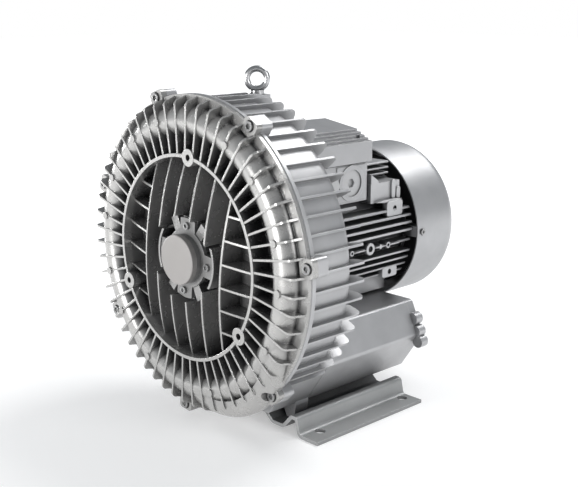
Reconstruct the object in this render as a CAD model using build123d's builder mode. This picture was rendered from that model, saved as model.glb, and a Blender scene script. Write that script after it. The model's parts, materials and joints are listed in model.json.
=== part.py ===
from build123d import *
import os
from math import ceil, cos, floor, radians, sin, sqrt

os.makedirs("parts", exist_ok=True)

# Side channel blower with a flanged motor, all sizes in millimetres.
# The origin is the centre of the foot bolt pattern on the floor, +Z is up, the shaft lies
# along Y and the finned front cover faces -Y. Depths are measured behind the cover's front ring.

# Places of the whole machine
SHAFT_H = 240.0
FRONT_Y = -200.0

# Front cover
RING_R = 140.0
RING_WALL = 4.5
RING_TAPER = 1.5
RECESS_D = 34.0
VALLEY_D = 28.0
COVER_FACE_D = 40.0
CHANNEL_R = 182.0
CHANNEL_HALF = 16.0
CHANNEL_WALL = 4.0
CREST_D = 1.5
FLANGE_D = 20.0
JOINT_D = 26.5
FLANGE_BACK_D = 33.0
JOINT_CHAMFER = 1.2
FLANGE_R = 216.0
STRIPPER_HALF_ANGLE = 12.0
BOTTOM_ANGLE = -90.0

# Radial fins of the casing
FIN_COUNT = 56
FIN_T = 3.0
COVER_FIN_FRONT = 0.8
COVER_FIN_CORNER = 8.5
COVER_FIN_SIDE_R = 210.5
COVER_FIN_FOOT_R = 214.0
COVER_FIN_ROOT_R = 201.0
HOUSING_FIN_R = 211.0
HOUSING_FIN_BACK_D = 130.0
HOUSING_FIN_INNER_R = 186.0
PADDLE_RADIUS = 8.0
BARE_HALF_ANGLE = 41.0

# Lugs that clamp the casing
LUG_COUNT = 7
LUG_BOLT_R = 218.5
LUG_WIDTH = 25.0
LUG_INNER_R = 205.0
LUG_OUTER_R = 227.5
LUG_FRONT_D = 17.0
LUG_BACK_D = 43.5
LUG_CORNER = 5.0
CLAMP_BOLT_R = 4.0
CLAMP_BOLT_LENGTH = 22.0
CLAMP_SEAT_D = 21.0
WASHER_T = 1.6
WASHER_R = 7.2
SPOT_GAP = 0.4
BOLT_CLEARANCE = 0.4
CAP_HEAD = 1.625
CAP_HEAD_H = 1.3
THREAD_RUNOUT = 2.0

# Bosses on the front
RING_BOSS_R = 11.5
RING_BOSS_PCR = 137.6
RING_BOSS_RISE = 0.5
RING_BOSS_START = 83.57
RING_BOSS_HOLE_R = 4.25
RING_BOSS_HOLE_DEPTH = 24.0
PIN_BOSS_R = 5.0
PIN_BOSS_PCR = 183.0
PIN_BOSS_ROOT_D = 6.5
PIN_BOSS_RISE = 1.0
PIN_BOSS_FINS = (2, 6, 9, 16, 19, 23, 26, 30, 33, 37, 44, 51, 55)

# Domed ribs in the recess
RIB_T = 2.8
RIB_COLUMNS = 6
RIB_PITCH = 31.6
RECESS_TURN = -6.1
DOME_APEX_D = -8.8
DOME_EDGE_D = 10.9
HUB_CLEAR_R = 58.0

# Bearing carrier in the cover
STAR_REACH = 55.0
STAR_ARM = 30.0
STAR_DISC_R = 40.0
STAR_FRONT_D = 5.0
STAR_T = 5.0
BARREL_R = 33.0
BARREL_FRONT_D = -3.4
SPIGOT_R = 32.0
SPIGOT_BACK_D = 38.0
GUARD_INNER_R = 55.5
GUARD_OUTER_R = 59.0
GUARD_HALF_ANGLE = 28.0
GUARD_FRONT_D = 3.5
HUB_WEB_ANGLE = 58.0
HUB_WEB_WIDTH = 14.0
HUB_WEB_FRONT_D = 7.0
CARRIER_SCREW_PCR = 45.0
CARRIER_SCREW_R = 3.0
CARRIER_SCREW_LENGTH = 20.0
CAP_R = 33.6
CAP_T = 8.0
CAP_LIP = 4.0

# Hood over the port end of the cover
HOOD_ANGLE = -57.0
HOOD_OFFSET = 90.0
HOOD_R = 134.0
HOOD_INNER_R = 109.0
HOOD_FLAT_R = 120.0
HOOD_FRONT_D = 3.0
HOOD_HALF_ANGLE = 60.0

# Bearings: bore radius, outer radius and width
FRONT_BEARING = (12.5, 26.0, 15.0)
DRIVE_BEARING = (17.5, 36.0, 17.0)
REAR_BEARING = (12.5, 26.0, 15.0)
RUNNING_GAP = 0.03
SEAT_GAP = 0.1
SEAL_GAP = 0.05
FRONT_BEARING_D = 2.0
FRONT_SEAL_D = 20.0
SEAL_WIDTH = 8.0
REAR_SEAL_D = 81.0
DRIVE_BEARING_D = 93.0
REAR_BEARING_D = 344.0
SEAL_OUTER_R = 26.0
SEAL_SHAFT_R = 15.0
SEAL_LIP = 2.0
SEAL_SHELL = 3.0
REAR_SEAL_SHAFT_R = 17.5
BEARING_RECESS = 0.8
SEAL_CORD = 3.0
SEAL_CORD_R = 206.0

# Impeller
IMPELLER_WIDTH = 36.0
FACE_GAP = 0.6
TIP_GAP = 0.6
BLADE_COUNT = 48
BLADE_T = 2.4
BLADE_WEB = 7.0
BLADE_ROOT_R = 166.0
IMPELLER_HUB_R = 34.0
IMPELLER_DISC_T = 10.0
IMPELLER_BORE_R = 16.0
IMPELLER_HUB_FRONT_D = 48.0
KEY_WIDTH = 8.0
KEY_HEIGHT = 7.0
KEY_LENGTH = 22.0
KEY_BACK_D = 74.0
IMPELLER_RIM_T = 6.0
NUT_R = 22.0
NUT_T = 6.0

# Rear housing
WALL_R = 205.0
HOUSING_WALL = 7.0
SPIGOT_WALL_R = 202.0
COLLAR_R = 97.0
COLLAR_BACK_D = 134.0
HUB_WALL_R = 52.0
POCKET_R = 78.0
POCKET_D = 90.0
REGISTER_D = 128.0
SEAL_SHOULDER_R = 20.0

# Lifting boss and eyebolt
LIFT_HALF_WIDTH = 12.0
LIFT_TOP_R = 208.4
LIFT_BOTTOM_R = 189.0
LIFT_BACK_D = 148.0
EYE_D = 134.0
EYE_OUTER_R = 18.0
EYE_SECTION_R = 4.4
EYE_COLLAR_R = 10.0
EYE_COLLAR_H = 6.0
EYE_SHANK_R = 4.0
EYE_SHANK_LENGTH = 13.0

# Ports and silencers
PORT_X = 80.0
PORT_DROP = 154.0
PORT_BORE_R = 24.0
PORT_THREAD_R = 29.5
PORT_BLOCK_FRONT_D = 62.0
PORT_FACE_D = 133.0
PORT_GASKET_T = 1.0
DUCT_HALF_H = 54.0
DUCT_INNER_X = 60.0
DUCT_TOP_X = 38.0
DUCT_CREASE_X = 60.5
DUCT_CREASE_Z = 6.0
DUCT_BOTTOM_X = 20.0
DUCT_CORNER = 7.0
DUCT_WALL = 5.0
DUCT_FRONT_WALL = 8.0
DUCT_BACK_D = 321.0
DUCT_COVER_T = 14.0
DUCT_COVER_LOBE_R = 9.0
DUCT_BOLT_R = 4.0
DUCT_BOLT_GRIP = 9.0
DUCT_BOLTS = ((-50.0, 44.0), (-50.0, -44.0), (30.0, 44.0), (46.0, 4.0))
DUCT_LOBES = ((51.0, 29.0), (57.0, 11.0), (62.0, -4.0))
INSERT_INNER_R = 30.0
INSERT_OUTER_R = 40.0

# Foot plate, as the line of its upper face
FOOT_T = 5.0
FOOT_FRONT_D = 85.0
FOOT_LENGTH = 216.0
FOOT_HALF_WIDTH = 169.0
FOOT_RISER_X = 135.0
FOOT_CREST_X = 130.0
FOOT_CREST_IN_X = 118.0
FOOT_CREST_H = 28.5
FOOT_VALLEY_OUT_X = 102.0
FOOT_VALLEY_IN_X = 82.0
FOOT_VALLEY_H = 10.5
FOOT_PLATEAU_X = 64.0
FOOT_PLATEAU_H = 26.0
FOOT_BEND = 6.0
FOOT_HOLE_X = 145.0
FOOT_HOLE_Y = 85.5
FOOT_HOLE_R = 7.5
LEG_X = 92.0
LEG_TIP_HALF = 7.0
LEG_HALF = 16.0
LEG_KNEE_HALF = 11.0
LEG_KNEE_H = 31.0
LEG_FRONT_D = 109.0
PAD_X = 46.0
PAD_HALF = 13.0
PAD_BOSS_R = 8.0
PAD_SCREW_DEPTH = 15.0
PAD_BOSS_END = 3.0
REAR_PAD_D = 270.0
FRONT_PAD_D = 118.0
FOOT_SCREW_R = 4.0
FOOT_HEAD_R = 6.5
FOOT_HEAD_H = 4.5

# Motor
FRAME_BORE_R = 78.0
FRAME_WALL = 6.0
FRAME_FIN_R = 107.0
FRAME_FIN_T = 3.0
FRAME_BACK_D = 346.0
FRAME_FLANGE_T = 8.0
FRAME_FLANGE_R = 96.0
FRAME_SCREW_PCR = 90.0
FRAME_SCREW_R = 3.0
FRAME_SCREW_LENGTH = 18.0
FRAME_SHOULDER = 2.0
FRAME_FINS_D = 152.0
FRAME_FINS_BACK_D = 344.5
EAR_PCR = 87.0
EAR_R = 8.0
EAR_LENGTH = 24.0
LAND_HALF = 34.0
LAND_H = 96.0
BELLY_HALF = 55.0
BAND_FRONT_D = 268.0
BAND_BACK_D = 330.0
BAND_X = 92.0
BAND_LOW = 50.0
BAND_HIGH = 78.0
TOP_FIN_COUNT = 3
TOP_FIN_PITCH = 8.0
TOP_FIN_X = 70.0
SIDE_FIN_MID = -11.7
SIDE_FIN_PITCH = 10.8
SIDE_RIB_X = 103.0
STATOR_BORE_R = 48.5
AIR_GAP = 0.5
STACK_FRONT_D = 175.0
STACK_BACK_D = 285.0
COIL_LENGTH = 28.0
COIL_INNER_R = 53.0
COIL_OUTER_R = 74.0
END_RING_T = 12.0
END_RING_WIDTH = 10.0
ROTOR_SHAFT_R = 21.0
ROTOR_COLLAR_R = 24.0
ROTOR_COLLAR_T = 10.0
BEARING_COVER_T = 5.0
BEARING_COVER_R = 50.0
BEARING_COVER_BORE = 25.0
BEARING_COVER_PCR = 43.0
SMALL_SCREW_R = 2.5
SMALL_SCREW_LENGTH = 14.0
SHIELD_T = 6.0
SHIELD_R = 89.0
SHIELD_HUB_R = 34.0
SHIELD_BACK_D = 368.0
SHIELD_BORE_R = 14.0
SHIELD_ARM_T = 16.0
SHOULDER_GAP = 0.3
SPRING_T = 3.0
SPRING_WIDTH = 5.0

# Fan and cowl
FAN_SHAFT_R = 10.0
FAN_FRONT_D = 374.0
FAN_BACK_D = 410.0
FAN_R = 100.0
FAN_DISC_T = 3.0
FAN_HUB_R = 17.0
FAN_HUB_BACK_D = 400.0
FAN_BLADES = 9
FAN_BLADE_T = 2.5
CIRCLIP_T = 1.5
CIRCLIP_R = 14.0
FAN_SHOULDER_R = 12.0
SHAFT_BACK_D = 408.0
COWL_R = 118.4
COWL_T = 2.0
COWL_FRONT_D = 343.4
COWL_BEND_D = 416.5
COWL_BEND_R = 24.0
COWL_SCREW_D = 354.0
COWL_SCREW_R = 2.5
COWL_SCREW_LENGTH = 16.0
COWL_HEAD_R = 4.5
COWL_DIMPLE_DEPTH = 0.6
COWL_DIMPLE_GAP = 1.5
SHIELD_ARM_W = 16.0
COWL_SLOT_ROWS = ((30.0, 48.0, 12), (55.0, 73.0, 20), (79.0, 92.0, 28))
COWL_SLOT_W = 6.0

# Terminal box
BOX_HALF = 90.0
BOX_FRONT_D = 138.0
BOX_BACK_D = 265.0
BOX_BOTTOM = 57.0
BOX_RIM = 111.0
BOX_WALL = 6.0
BOX_ARCH_R = 97.0
BOX_ARCH_T = 5.0
BOX_GASKET_T = 1.5
LID_HALF = 93.0
LID_SIDE_TOP = 141.5
LID_STEP_COUNT = 4
LID_STEP_X = 64.0
LID_STEP_TOP = 155.5
LID_RIDGE = 165.0
LID_WALL = 4.0
LID_OVERHANG = 3.0
BOX_PILLAR_X = 77.0
BOX_PILLAR_R = 8.0
BOX_PILLAR_INSET = 12.0
BOX_SCREW_R = 2.5
BOX_SCREW_DEPTH = 20.0
BOX_PILLAR_FOOT = 74.0
BOX_FLOOR_H = 102.0
TERMINAL_LENGTH = 70.0
TERMINAL_WIDTH = 26.0
TERMINAL_H = 14.0
TERMINAL_STUD_R = 2.5
TERMINAL_STUD_H = 10.0
ENTRY_D = 227.6
ENTRY_H = 85.0
ENTRY_BOSS_R = 25.5
ENTRY_R = 19.25
ENTRY_BOSS_T = 3.0
ENTRY_PAD_HALF = 29.0
ENTRY_PAD_HALF_H = 24.5
ENTRY_PAD_T = 1.5
ENTRY_SET_BACK = 2.5
SMALL_ENTRY_D = 188.0
SMALL_ENTRY_R = 8.0
SMALL_BOSS_R = 12.0
PLUG_T = 4.0
PLUG_LIP = 4.0
PLUG_DEPTH = 8.0
PLUG_HEX_R = 7.0
PLUG_HEX_DEPTH = 4.0

SHAFT_AXIS = Axis((0, FRONT_Y, SHAFT_H), (0, 1, 0))


def across(depth):
    """Plane square to the shaft; its local z points to the front."""
    return Plane(origin=(0, FRONT_Y + depth, SHAFT_H), x_dir=(1, 0, 0), z_dir=(0, -1, 0))


def behind(depth):
    """Plane square to the shaft; its local z points to the back and its local x to -X."""
    return Plane(origin=(0, FRONT_Y + depth, SHAFT_H), x_dir=(-1, 0, 0), z_dir=(0, 1, 0))


def turned(depth):
    """Plane like across, turned with the bearing carrier and the recess ribs."""
    out = (cos(radians(RECESS_TURN)), 0, sin(radians(RECESS_TURN)))
    return Plane(origin=(0, FRONT_Y + depth, SHAFT_H), x_dir=out, z_dir=(0, -1, 0))


def section_plane(angle=0.0):
    """Plane through the shaft at an angle from +X towards +Z, with local x as radius and y as depth."""
    out = (cos(radians(angle)), 0, sin(radians(angle)))
    normal = (-sin(radians(angle)), 0, cos(radians(angle)))
    return Plane(origin=(0, FRONT_Y, SHAFT_H), x_dir=out, z_dir=normal)


def side_plane(x):
    """Plane that faces +X, with local x as depth and local y as height above the shaft."""
    return Plane(origin=(x, FRONT_Y, SHAFT_H), x_dir=(0, 1, 0), z_dir=(1, 0, 0))


def level_plane(height):
    """Horizontal plane at a height above the floor, with local y as depth."""
    return Plane(origin=(0, FRONT_Y, height), x_dir=(1, 0, 0), z_dir=(0, 0, 1))


def cowl_screw_plane(angle):
    """Plane of the flat dimple in the cowl where a radial screw seats, facing outwards."""
    out = (cos(radians(angle)), 0, sin(radians(angle)))
    seat = COWL_R - COWL_DIMPLE_DEPTH
    place = (seat * out[0], FRONT_Y + COWL_SCREW_D, SHAFT_H + seat * out[2])
    return Plane(origin=place, x_dir=(0, 1, 0), z_dir=out)


def save(piece, name):
    """Name a finished piece and write it."""
    piece.label = name
    export_step(piece, f"parts/{name}.step")


def ring(inner_r, outer_r, front, back):
    """A plain ring about the shaft between two depths."""
    with BuildPart() as blank:
        with BuildSketch(across(back)):
            Circle(outer_r)
            Circle(inner_r, mode=Mode.SUBTRACT)
        extrude(amount=back - front)
    return blank.part


def on_circle(radius, count, start):
    """Points evenly spaced on a circle about the shaft, as local points of a plane across it."""
    angles = [radians(start + 360.0 / count * i) for i in range(count)]
    return [(radius * cos(a), radius * sin(a)) for a in angles]


def channel_section(front, torus_depth, sign):
    """Outline of the side channel: straight flanks and a half-round end, as (radius, depth)."""
    with BuildLine() as line:
        left, right = CHANNEL_R - CHANNEL_HALF, CHANNEL_R + CHANNEL_HALF
        Line((left, front), (left, torus_depth))
        ThreePointArc((left, torus_depth), (CHANNEL_R, torus_depth + sign * CHANNEL_HALF), (right, torus_depth))
        Line((right, torus_depth), (right, front))
        Line((right, front), (left, front))
    return line.line


# Places worked out from the driving dimensions
TORUS_R = CHANNEL_HALF + CHANNEL_WALL
COVER_TORUS_D = CREST_D + TORUS_R
IMPELLER_FRONT_D = COVER_FACE_D + FACE_GAP
IMPELLER_BACK_D = IMPELLER_FRONT_D + IMPELLER_WIDTH
HOUSING_FACE_D = IMPELLER_BACK_D + FACE_GAP
HOUSING_TORUS_D = HOUSING_FACE_D + COVER_FACE_D - COVER_TORUS_D
HOUSING_CREST_D = HOUSING_TORUS_D + TORUS_R
IMPELLER_R = CHANNEL_R + CHANNEL_HALF
BORE_R = IMPELLER_R + TIP_GAP
FIN_STEP = 360.0 / FIN_COUNT
FIN_START = FIN_STEP / 2
LUG_START = FIN_STEP
LUG_MID_R = (LUG_INNER_R + LUG_OUTER_R) / 2
STRIPPER_START = BOTTOM_ANGLE - STRIPPER_HALF_ANGLE
CHANNEL_SWEEP = 360.0 - 2 * STRIPPER_HALF_ANGLE
RECESS_R = RING_R - RING_WALL
DOME_RISE = DOME_EDGE_D - DOME_APEX_D
DOME_R = (RECESS_R**2 + DOME_RISE**2) / (2 * DOME_RISE)
FRAME_R = FRAME_BORE_R + FRAME_WALL
DUCT_FRONT_D = PORT_FACE_D + PORT_GASKET_T
PORT_Z = SHAFT_H - PORT_DROP
HOUSING_BACK_D = HOUSING_FACE_D + HOUSING_WALL
DRIVE_BEARING_BACK_D = DRIVE_BEARING_D + DRIVE_BEARING[2]
LEG_SCREW_D = (LEG_FRONT_D + PORT_FACE_D) / 2
DUCT_END_D = DUCT_BACK_D + DUCT_COVER_T
SPRING_D = REAR_BEARING_D + REAR_BEARING[2]
COWL_BACK_D = COWL_BEND_D + COWL_BEND_R
BOX_MID_D = (BOX_FRONT_D + BOX_BACK_D) / 2
LID_FOOT = BOX_RIM + BOX_GASKET_T
IMPELLER_MID_D = (IMPELLER_FRONT_D + IMPELLER_BACK_D) / 2


# Front cover: a finned half of the side channel round a ribbed recess
with BuildPart() as cover_fin:
    with BuildSketch(Plane.XZ):
        with BuildLine():
            foot = (COVER_FIN_FOOT_R, -FLANGE_D)
            side_end = (COVER_FIN_SIDE_R, -COVER_FIN_FRONT - COVER_FIN_CORNER)
            flat_end = (COVER_FIN_SIDE_R - COVER_FIN_CORNER, -COVER_FIN_FRONT)
            root = (RECESS_R + 1, -COVER_FIN_FRONT)
            root_low = (RECESS_R + 1, -VALLEY_D - RING_TAPER)
            Polyline(side_end, foot, (COVER_FIN_ROOT_R, -JOINT_D + 1), root_low, root, flat_end)
            TangentArc(flat_end, side_end, tangent=(1, 0))
        make_face()
    extrude(amount=FIN_T / 2, both=True)

with BuildPart() as recess_ribs:
    with BuildSketch(turned(RECESS_D + 1)):
        edge_x = (RIB_COLUMNS - 1) / 2 * RIB_PITCH
        for step in range(RIB_COLUMNS):
            place = step * RIB_PITCH - edge_x
            with Locations((place, 0)):
                Rectangle(RIB_T, 2 * RING_R)
            with Locations((-(edge_x + RING_R) / 2, place), ((edge_x + RING_R) / 2, place)):
                Rectangle(RING_R - edge_x, RIB_T)
        Circle(RECESS_R + 1, mode=Mode.INTERSECT)
        Circle(HUB_CLEAR_R, mode=Mode.SUBTRACT)
    extrude(amount=RECESS_D + 1 - DOME_APEX_D)
    with Locations(across(DOME_APEX_D + DOME_R)):
        Sphere(DOME_R, mode=Mode.INTERSECT)

with BuildPart() as port_hood:
    hood_x = HOOD_OFFSET * cos(radians(HOOD_ANGLE))
    hood_z = HOOD_OFFSET * sin(radians(HOOD_ANGLE))
    hood_start = section_plane(HOOD_ANGLE + HOOD_HALF_ANGLE)
    hood_centre = (hood_x, FRONT_Y, SHAFT_H + hood_z)
    with BuildSketch(Plane(origin=hood_centre, x_dir=hood_start.x_dir, z_dir=hood_start.z_dir)):
        with BuildLine():
            flat_end = (HOOD_FLAT_R, HOOD_FRONT_D)
            shoulder = ((HOOD_FLAT_R + 2 * HOOD_R) / 3, HOOD_FRONT_D + FLANGE_D / 4)
            side_top = (HOOD_R, FLANGE_D - FLANGE_D / 8)
            Spline(flat_end, shoulder, side_top)
            Polyline(side_top, (HOOD_R, JOINT_D), (HOOD_INNER_R, JOINT_D), (HOOD_INNER_R, HOOD_FRONT_D), flat_end)
        make_face()
    revolve(axis=Axis(hood_centre, (0, 1, 0)), revolution_arc=2 * HOOD_HALF_ANGLE)

with BuildPart() as front_cover:
    with BuildSketch(section_plane()):
        with BuildLine():
            outer_arc_end = (CHANNEL_R + sqrt(TORUS_R**2 - (COVER_TORUS_D - FLANGE_D) ** 2), FLANGE_D)
            Polyline(
                outer_arc_end,
                (FLANGE_R, FLANGE_D),
                (FLANGE_R, JOINT_D - JOINT_CHAMFER),
                (FLANGE_R - JOINT_CHAMFER, JOINT_D),
                (SPIGOT_WALL_R, JOINT_D),
                (SPIGOT_WALL_R, COVER_FACE_D),
                (SPIGOT_R + SEAT_GAP, COVER_FACE_D),
                (SPIGOT_R + SEAT_GAP, RECESS_D),
                (RECESS_R, RECESS_D),
                (RECESS_R, 0),
                (RING_R, 0),
                (RING_R + RING_TAPER, VALLEY_D),
                (CHANNEL_R - TORUS_R, VALLEY_D),
                (CHANNEL_R - TORUS_R, COVER_TORUS_D),
            )
            ThreePointArc(
                (CHANNEL_R - TORUS_R, COVER_TORUS_D),
                (CHANNEL_R, CREST_D),
                outer_arc_end,
            )
        make_face()
    revolve(axis=SHAFT_AXIS)
    with Locations(across(0)):
        with PolarLocations(0, FIN_COUNT, start_angle=FIN_START):
            add(cover_fin.part)
    add(port_hood.part)
    add(recess_ribs.part)
    # The star pad under the bearing carrier
    with BuildSketch(turned(RECESS_D + 1)):
        Rectangle(2 * STAR_REACH, STAR_ARM)
        Rectangle(STAR_ARM, 2 * STAR_REACH)
        Circle(STAR_DISC_R)
        Circle(SPIGOT_R + SEAT_GAP, mode=Mode.SUBTRACT)
    extrude(amount=RECESS_D + 1 - STAR_FRONT_D - STAR_T)
    # Slanting webs between the star pad and the ribs
    with BuildSketch(turned(RECESS_D + 1)):
        web_inner_r = STAR_DISC_R + SHOULDER_GAP
        for angle in (HUB_WEB_ANGLE, 180 - HUB_WEB_ANGLE, 180 + HUB_WEB_ANGLE, -HUB_WEB_ANGLE):
            with Locations((HUB_CLEAR_R * cos(radians(angle)) / 2, HUB_CLEAR_R * sin(radians(angle)) / 2)):
                Rectangle(HUB_CLEAR_R + RIB_T, HUB_WEB_WIDTH, rotation=angle)
        Circle(web_inner_r, mode=Mode.SUBTRACT)
    extrude(amount=RECESS_D + 1 - HUB_WEB_FRONT_D)
    # Curved guards beyond the level arms of the star
    with BuildSketch(turned(RECESS_D + 1)):
        Circle(GUARD_OUTER_R)
        Circle(GUARD_INNER_R, mode=Mode.SUBTRACT)
        Rectangle(2 * GUARD_OUTER_R, 2 * GUARD_OUTER_R * sin(radians(GUARD_HALF_ANGLE)), mode=Mode.INTERSECT)
    extrude(amount=RECESS_D + 1 - GUARD_FRONT_D)
    # Threaded bosses on the ring and the small bosses on the fins
    with BuildSketch(across(RECESS_D)):
        with PolarLocations(RING_BOSS_PCR, 3, start_angle=RING_BOSS_START):
            Circle(RING_BOSS_R)
    extrude(amount=RECESS_D + RING_BOSS_RISE)
    with BuildSketch(across(PIN_BOSS_ROOT_D)):
        for fin in PIN_BOSS_FINS:
            angle = radians(FIN_START + FIN_STEP * fin)
            with Locations((PIN_BOSS_PCR * cos(angle), PIN_BOSS_PCR * sin(angle))):
                Circle(PIN_BOSS_R)
    extrude(amount=PIN_BOSS_ROOT_D + PIN_BOSS_RISE)
    # Clamp lugs
    with BuildSketch(across(JOINT_D)):
        with PolarLocations(LUG_MID_R, LUG_COUNT, start_angle=LUG_START):
            RectangleRounded(LUG_OUTER_R - LUG_INNER_R, LUG_WIDTH, LUG_CORNER)
    extrude(amount=JOINT_D - LUG_FRONT_D)
    # Counterbores of the clamp bolts
    with BuildSketch(across(CLAMP_SEAT_D)):
        with PolarLocations(LUG_BOLT_R, LUG_COUNT, start_angle=LUG_START):
            Circle(WASHER_R + SPOT_GAP)
    extrude(amount=CLAMP_SEAT_D + 1, mode=Mode.SUBTRACT)
    # Channel, interrupted at the bottom by the stripper
    with BuildSketch(section_plane(STRIPPER_START)):
        add(make_face(channel_section(COVER_FACE_D + 1, COVER_TORUS_D, -1), mode=Mode.PRIVATE))
    revolve(axis=SHAFT_AXIS, revolution_arc=CHANNEL_SWEEP, mode=Mode.SUBTRACT)
    # Seal groove and bolt holes
    with BuildSketch(across(JOINT_D + SEAL_CORD / 2)):
        Circle(SEAL_CORD_R + SEAL_CORD)
        Circle(SEAL_CORD_R, mode=Mode.SUBTRACT)
    extrude(amount=SEAL_CORD, mode=Mode.SUBTRACT)
    with BuildSketch(across(0)):
        with PolarLocations(LUG_BOLT_R, LUG_COUNT, start_angle=LUG_START):
            Circle(CLAMP_BOLT_R + BOLT_CLEARANCE)
    extrude(amount=-COVER_FACE_D, mode=Mode.SUBTRACT)
    with BuildSketch(across(-1)):
        with PolarLocations(RING_BOSS_PCR, 3, start_angle=RING_BOSS_START):
            Circle(RING_BOSS_HOLE_R)
    extrude(amount=-RING_BOSS_HOLE_DEPTH, mode=Mode.SUBTRACT)
    with BuildSketch(turned(0)):
        with PolarLocations(CARRIER_SCREW_PCR, 4):
            Circle(CARRIER_SCREW_R)
    extrude(amount=-STAR_FRONT_D - CARRIER_SCREW_LENGTH - 1, mode=Mode.SUBTRACT)
save(front_cover.part, "front_cover")


def duct_outline(inset=0.0):
    """Barrel-like section of a port block and its silencer, about the port's centre."""
    with BuildSketch() as outline:
        with BuildLine():
            Polyline(
                (-DUCT_INNER_X, DUCT_HALF_H),
                (DUCT_TOP_X, DUCT_HALF_H),
                (DUCT_CREASE_X, DUCT_CREASE_Z),
                (DUCT_BOTTOM_X, -DUCT_HALF_H),
                (-DUCT_INNER_X, -DUCT_HALF_H),
                close=True,
            )
        make_face()
        fillet(outline.vertices(), DUCT_CORNER)
        if inset:
            offset(amount=-inset, mode=Mode.REPLACE)
    return outline.sketch


def fasteners(plane, places, shank_r, shank_length, head_r, head_h):
    """Screws whose heads stand on a plane and whose shanks run against its normal."""
    with BuildPart() as group:
        with BuildSketch(plane):
            with Locations(*places):
                Circle(head_r)
        extrude(amount=head_h)
        with BuildSketch(plane.offset(head_h)):
            with Locations(*places):
                RegularPolygon(shank_r, 6)
        extrude(amount=-head_h / 2, mode=Mode.SUBTRACT)
        with BuildSketch(plane):
            with Locations(*places):
                Circle(shank_r)
        extrude(amount=-shank_length)
    return group.part


def bearing(size, front):
    """A sealed ball bearing: two rings with the seals set back between them."""
    bore_r, outer_r, width = size
    race = (outer_r - bore_r) / 4
    with BuildPart() as blank:
        with BuildSketch(section_plane()):
            with BuildLine():
                Polyline(
                    (bore_r, front),
                    (bore_r + race, front),
                    (bore_r + race, front + BEARING_RECESS),
                    (outer_r - race, front + BEARING_RECESS),
                    (outer_r - race, front),
                    (outer_r, front),
                    (outer_r, front + width),
                    (outer_r - race, front + width),
                    (outer_r - race, front + width - BEARING_RECESS),
                    (bore_r + race, front + width - BEARING_RECESS),
                    (bore_r + race, front + width),
                    (bore_r, front + width),
                    close=True,
                )
            make_face()
        revolve(axis=SHAFT_AXIS)
    return blank.part


def lip_seal(bore_r, front):
    """A radial shaft seal: a steel shell with a lip that leans on the shaft."""
    lip = bore_r + SEAL_GAP
    with BuildPart() as blank:
        with BuildSketch(section_plane()):
            with BuildLine():
                Polyline(
                    (lip, front + SEAL_WIDTH / 2),
                    (lip + SEAL_LIP, front),
                    (SEAL_OUTER_R, front),
                    (SEAL_OUTER_R, front + SEAL_WIDTH),
                    (SEAL_OUTER_R - SEAL_SHELL, front + SEAL_WIDTH),
                    (SEAL_OUTER_R - SEAL_SHELL, front + SEAL_WIDTH / 2),
                    close=True,
                )
            make_face()
        revolve(axis=SHAFT_AXIS)
    return blank.part


# Bearing carrier: a four-armed flange with the front bearing and its seal
with BuildPart() as bearing_carrier:
    with BuildSketch(turned(STAR_FRONT_D + STAR_T)):
        Rectangle(2 * STAR_REACH, STAR_ARM)
        Rectangle(STAR_ARM, 2 * STAR_REACH)
        Circle(STAR_REACH, mode=Mode.INTERSECT)
        Circle(STAR_DISC_R)
    extrude(amount=STAR_T)
    with BuildSketch(across(STAR_FRONT_D)):
        Circle(BARREL_R)
    extrude(amount=STAR_FRONT_D - BARREL_FRONT_D)
    with BuildSketch(across(SPIGOT_BACK_D)):
        Circle(SPIGOT_R)
    extrude(amount=SPIGOT_BACK_D - STAR_FRONT_D)
    with BuildSketch(section_plane()):
        with BuildLine():
            pocket_r = FRONT_BEARING[1] + SEAT_GAP
            shoulder_d = FRONT_BEARING_D + FRONT_BEARING[2]
            Polyline(
                (0, BARREL_FRONT_D - 1),
                (pocket_r, BARREL_FRONT_D - 1),
                (pocket_r, shoulder_d),
                (SEAL_SHOULDER_R, shoulder_d),
                (SEAL_SHOULDER_R, FRONT_SEAL_D),
                (SEAL_OUTER_R + SEAT_GAP, FRONT_SEAL_D),
                (SEAL_OUTER_R + SEAT_GAP, SPIGOT_BACK_D + 1),
                (0, SPIGOT_BACK_D + 1),
                close=True,
            )
        make_face()
    revolve(axis=SHAFT_AXIS, mode=Mode.SUBTRACT)
    with BuildSketch(turned(0)):
        with PolarLocations(CARRIER_SCREW_PCR, 4):
            Circle(CARRIER_SCREW_R + BOLT_CLEARANCE)
    extrude(amount=-RECESS_D, mode=Mode.SUBTRACT)
save(bearing_carrier.part, "bearing_carrier")

with BuildPart() as hub_cap:
    with BuildSketch(across(BARREL_FRONT_D)):
        Circle(CAP_R)
    extrude(amount=CAP_T)
    fillet(hub_cap.edges().group_by(Axis.Y)[0], CAP_T / 5)
    with BuildSketch(across(FRONT_BEARING_D)):
        Circle(FRONT_BEARING[1])
        Circle(FRONT_BEARING[1] - CAP_LIP, mode=Mode.SUBTRACT)
    extrude(amount=FRONT_BEARING_D - BARREL_FRONT_D)
save(hub_cap.part, "hub_cap")

save(
    fasteners(
        turned(STAR_FRONT_D),
        on_circle(CARRIER_SCREW_PCR, 4, 0),
        CARRIER_SCREW_R - SEAT_GAP,
        CARRIER_SCREW_LENGTH,
        CARRIER_SCREW_R * CAP_HEAD,
        CARRIER_SCREW_R * CAP_HEAD_H,
    ),
    "carrier_screws",
)
save(bearing(FRONT_BEARING, FRONT_BEARING_D), "front_bearing")
save(lip_seal(SEAL_SHAFT_R, FRONT_SEAL_D), "front_shaft_seal")

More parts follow.
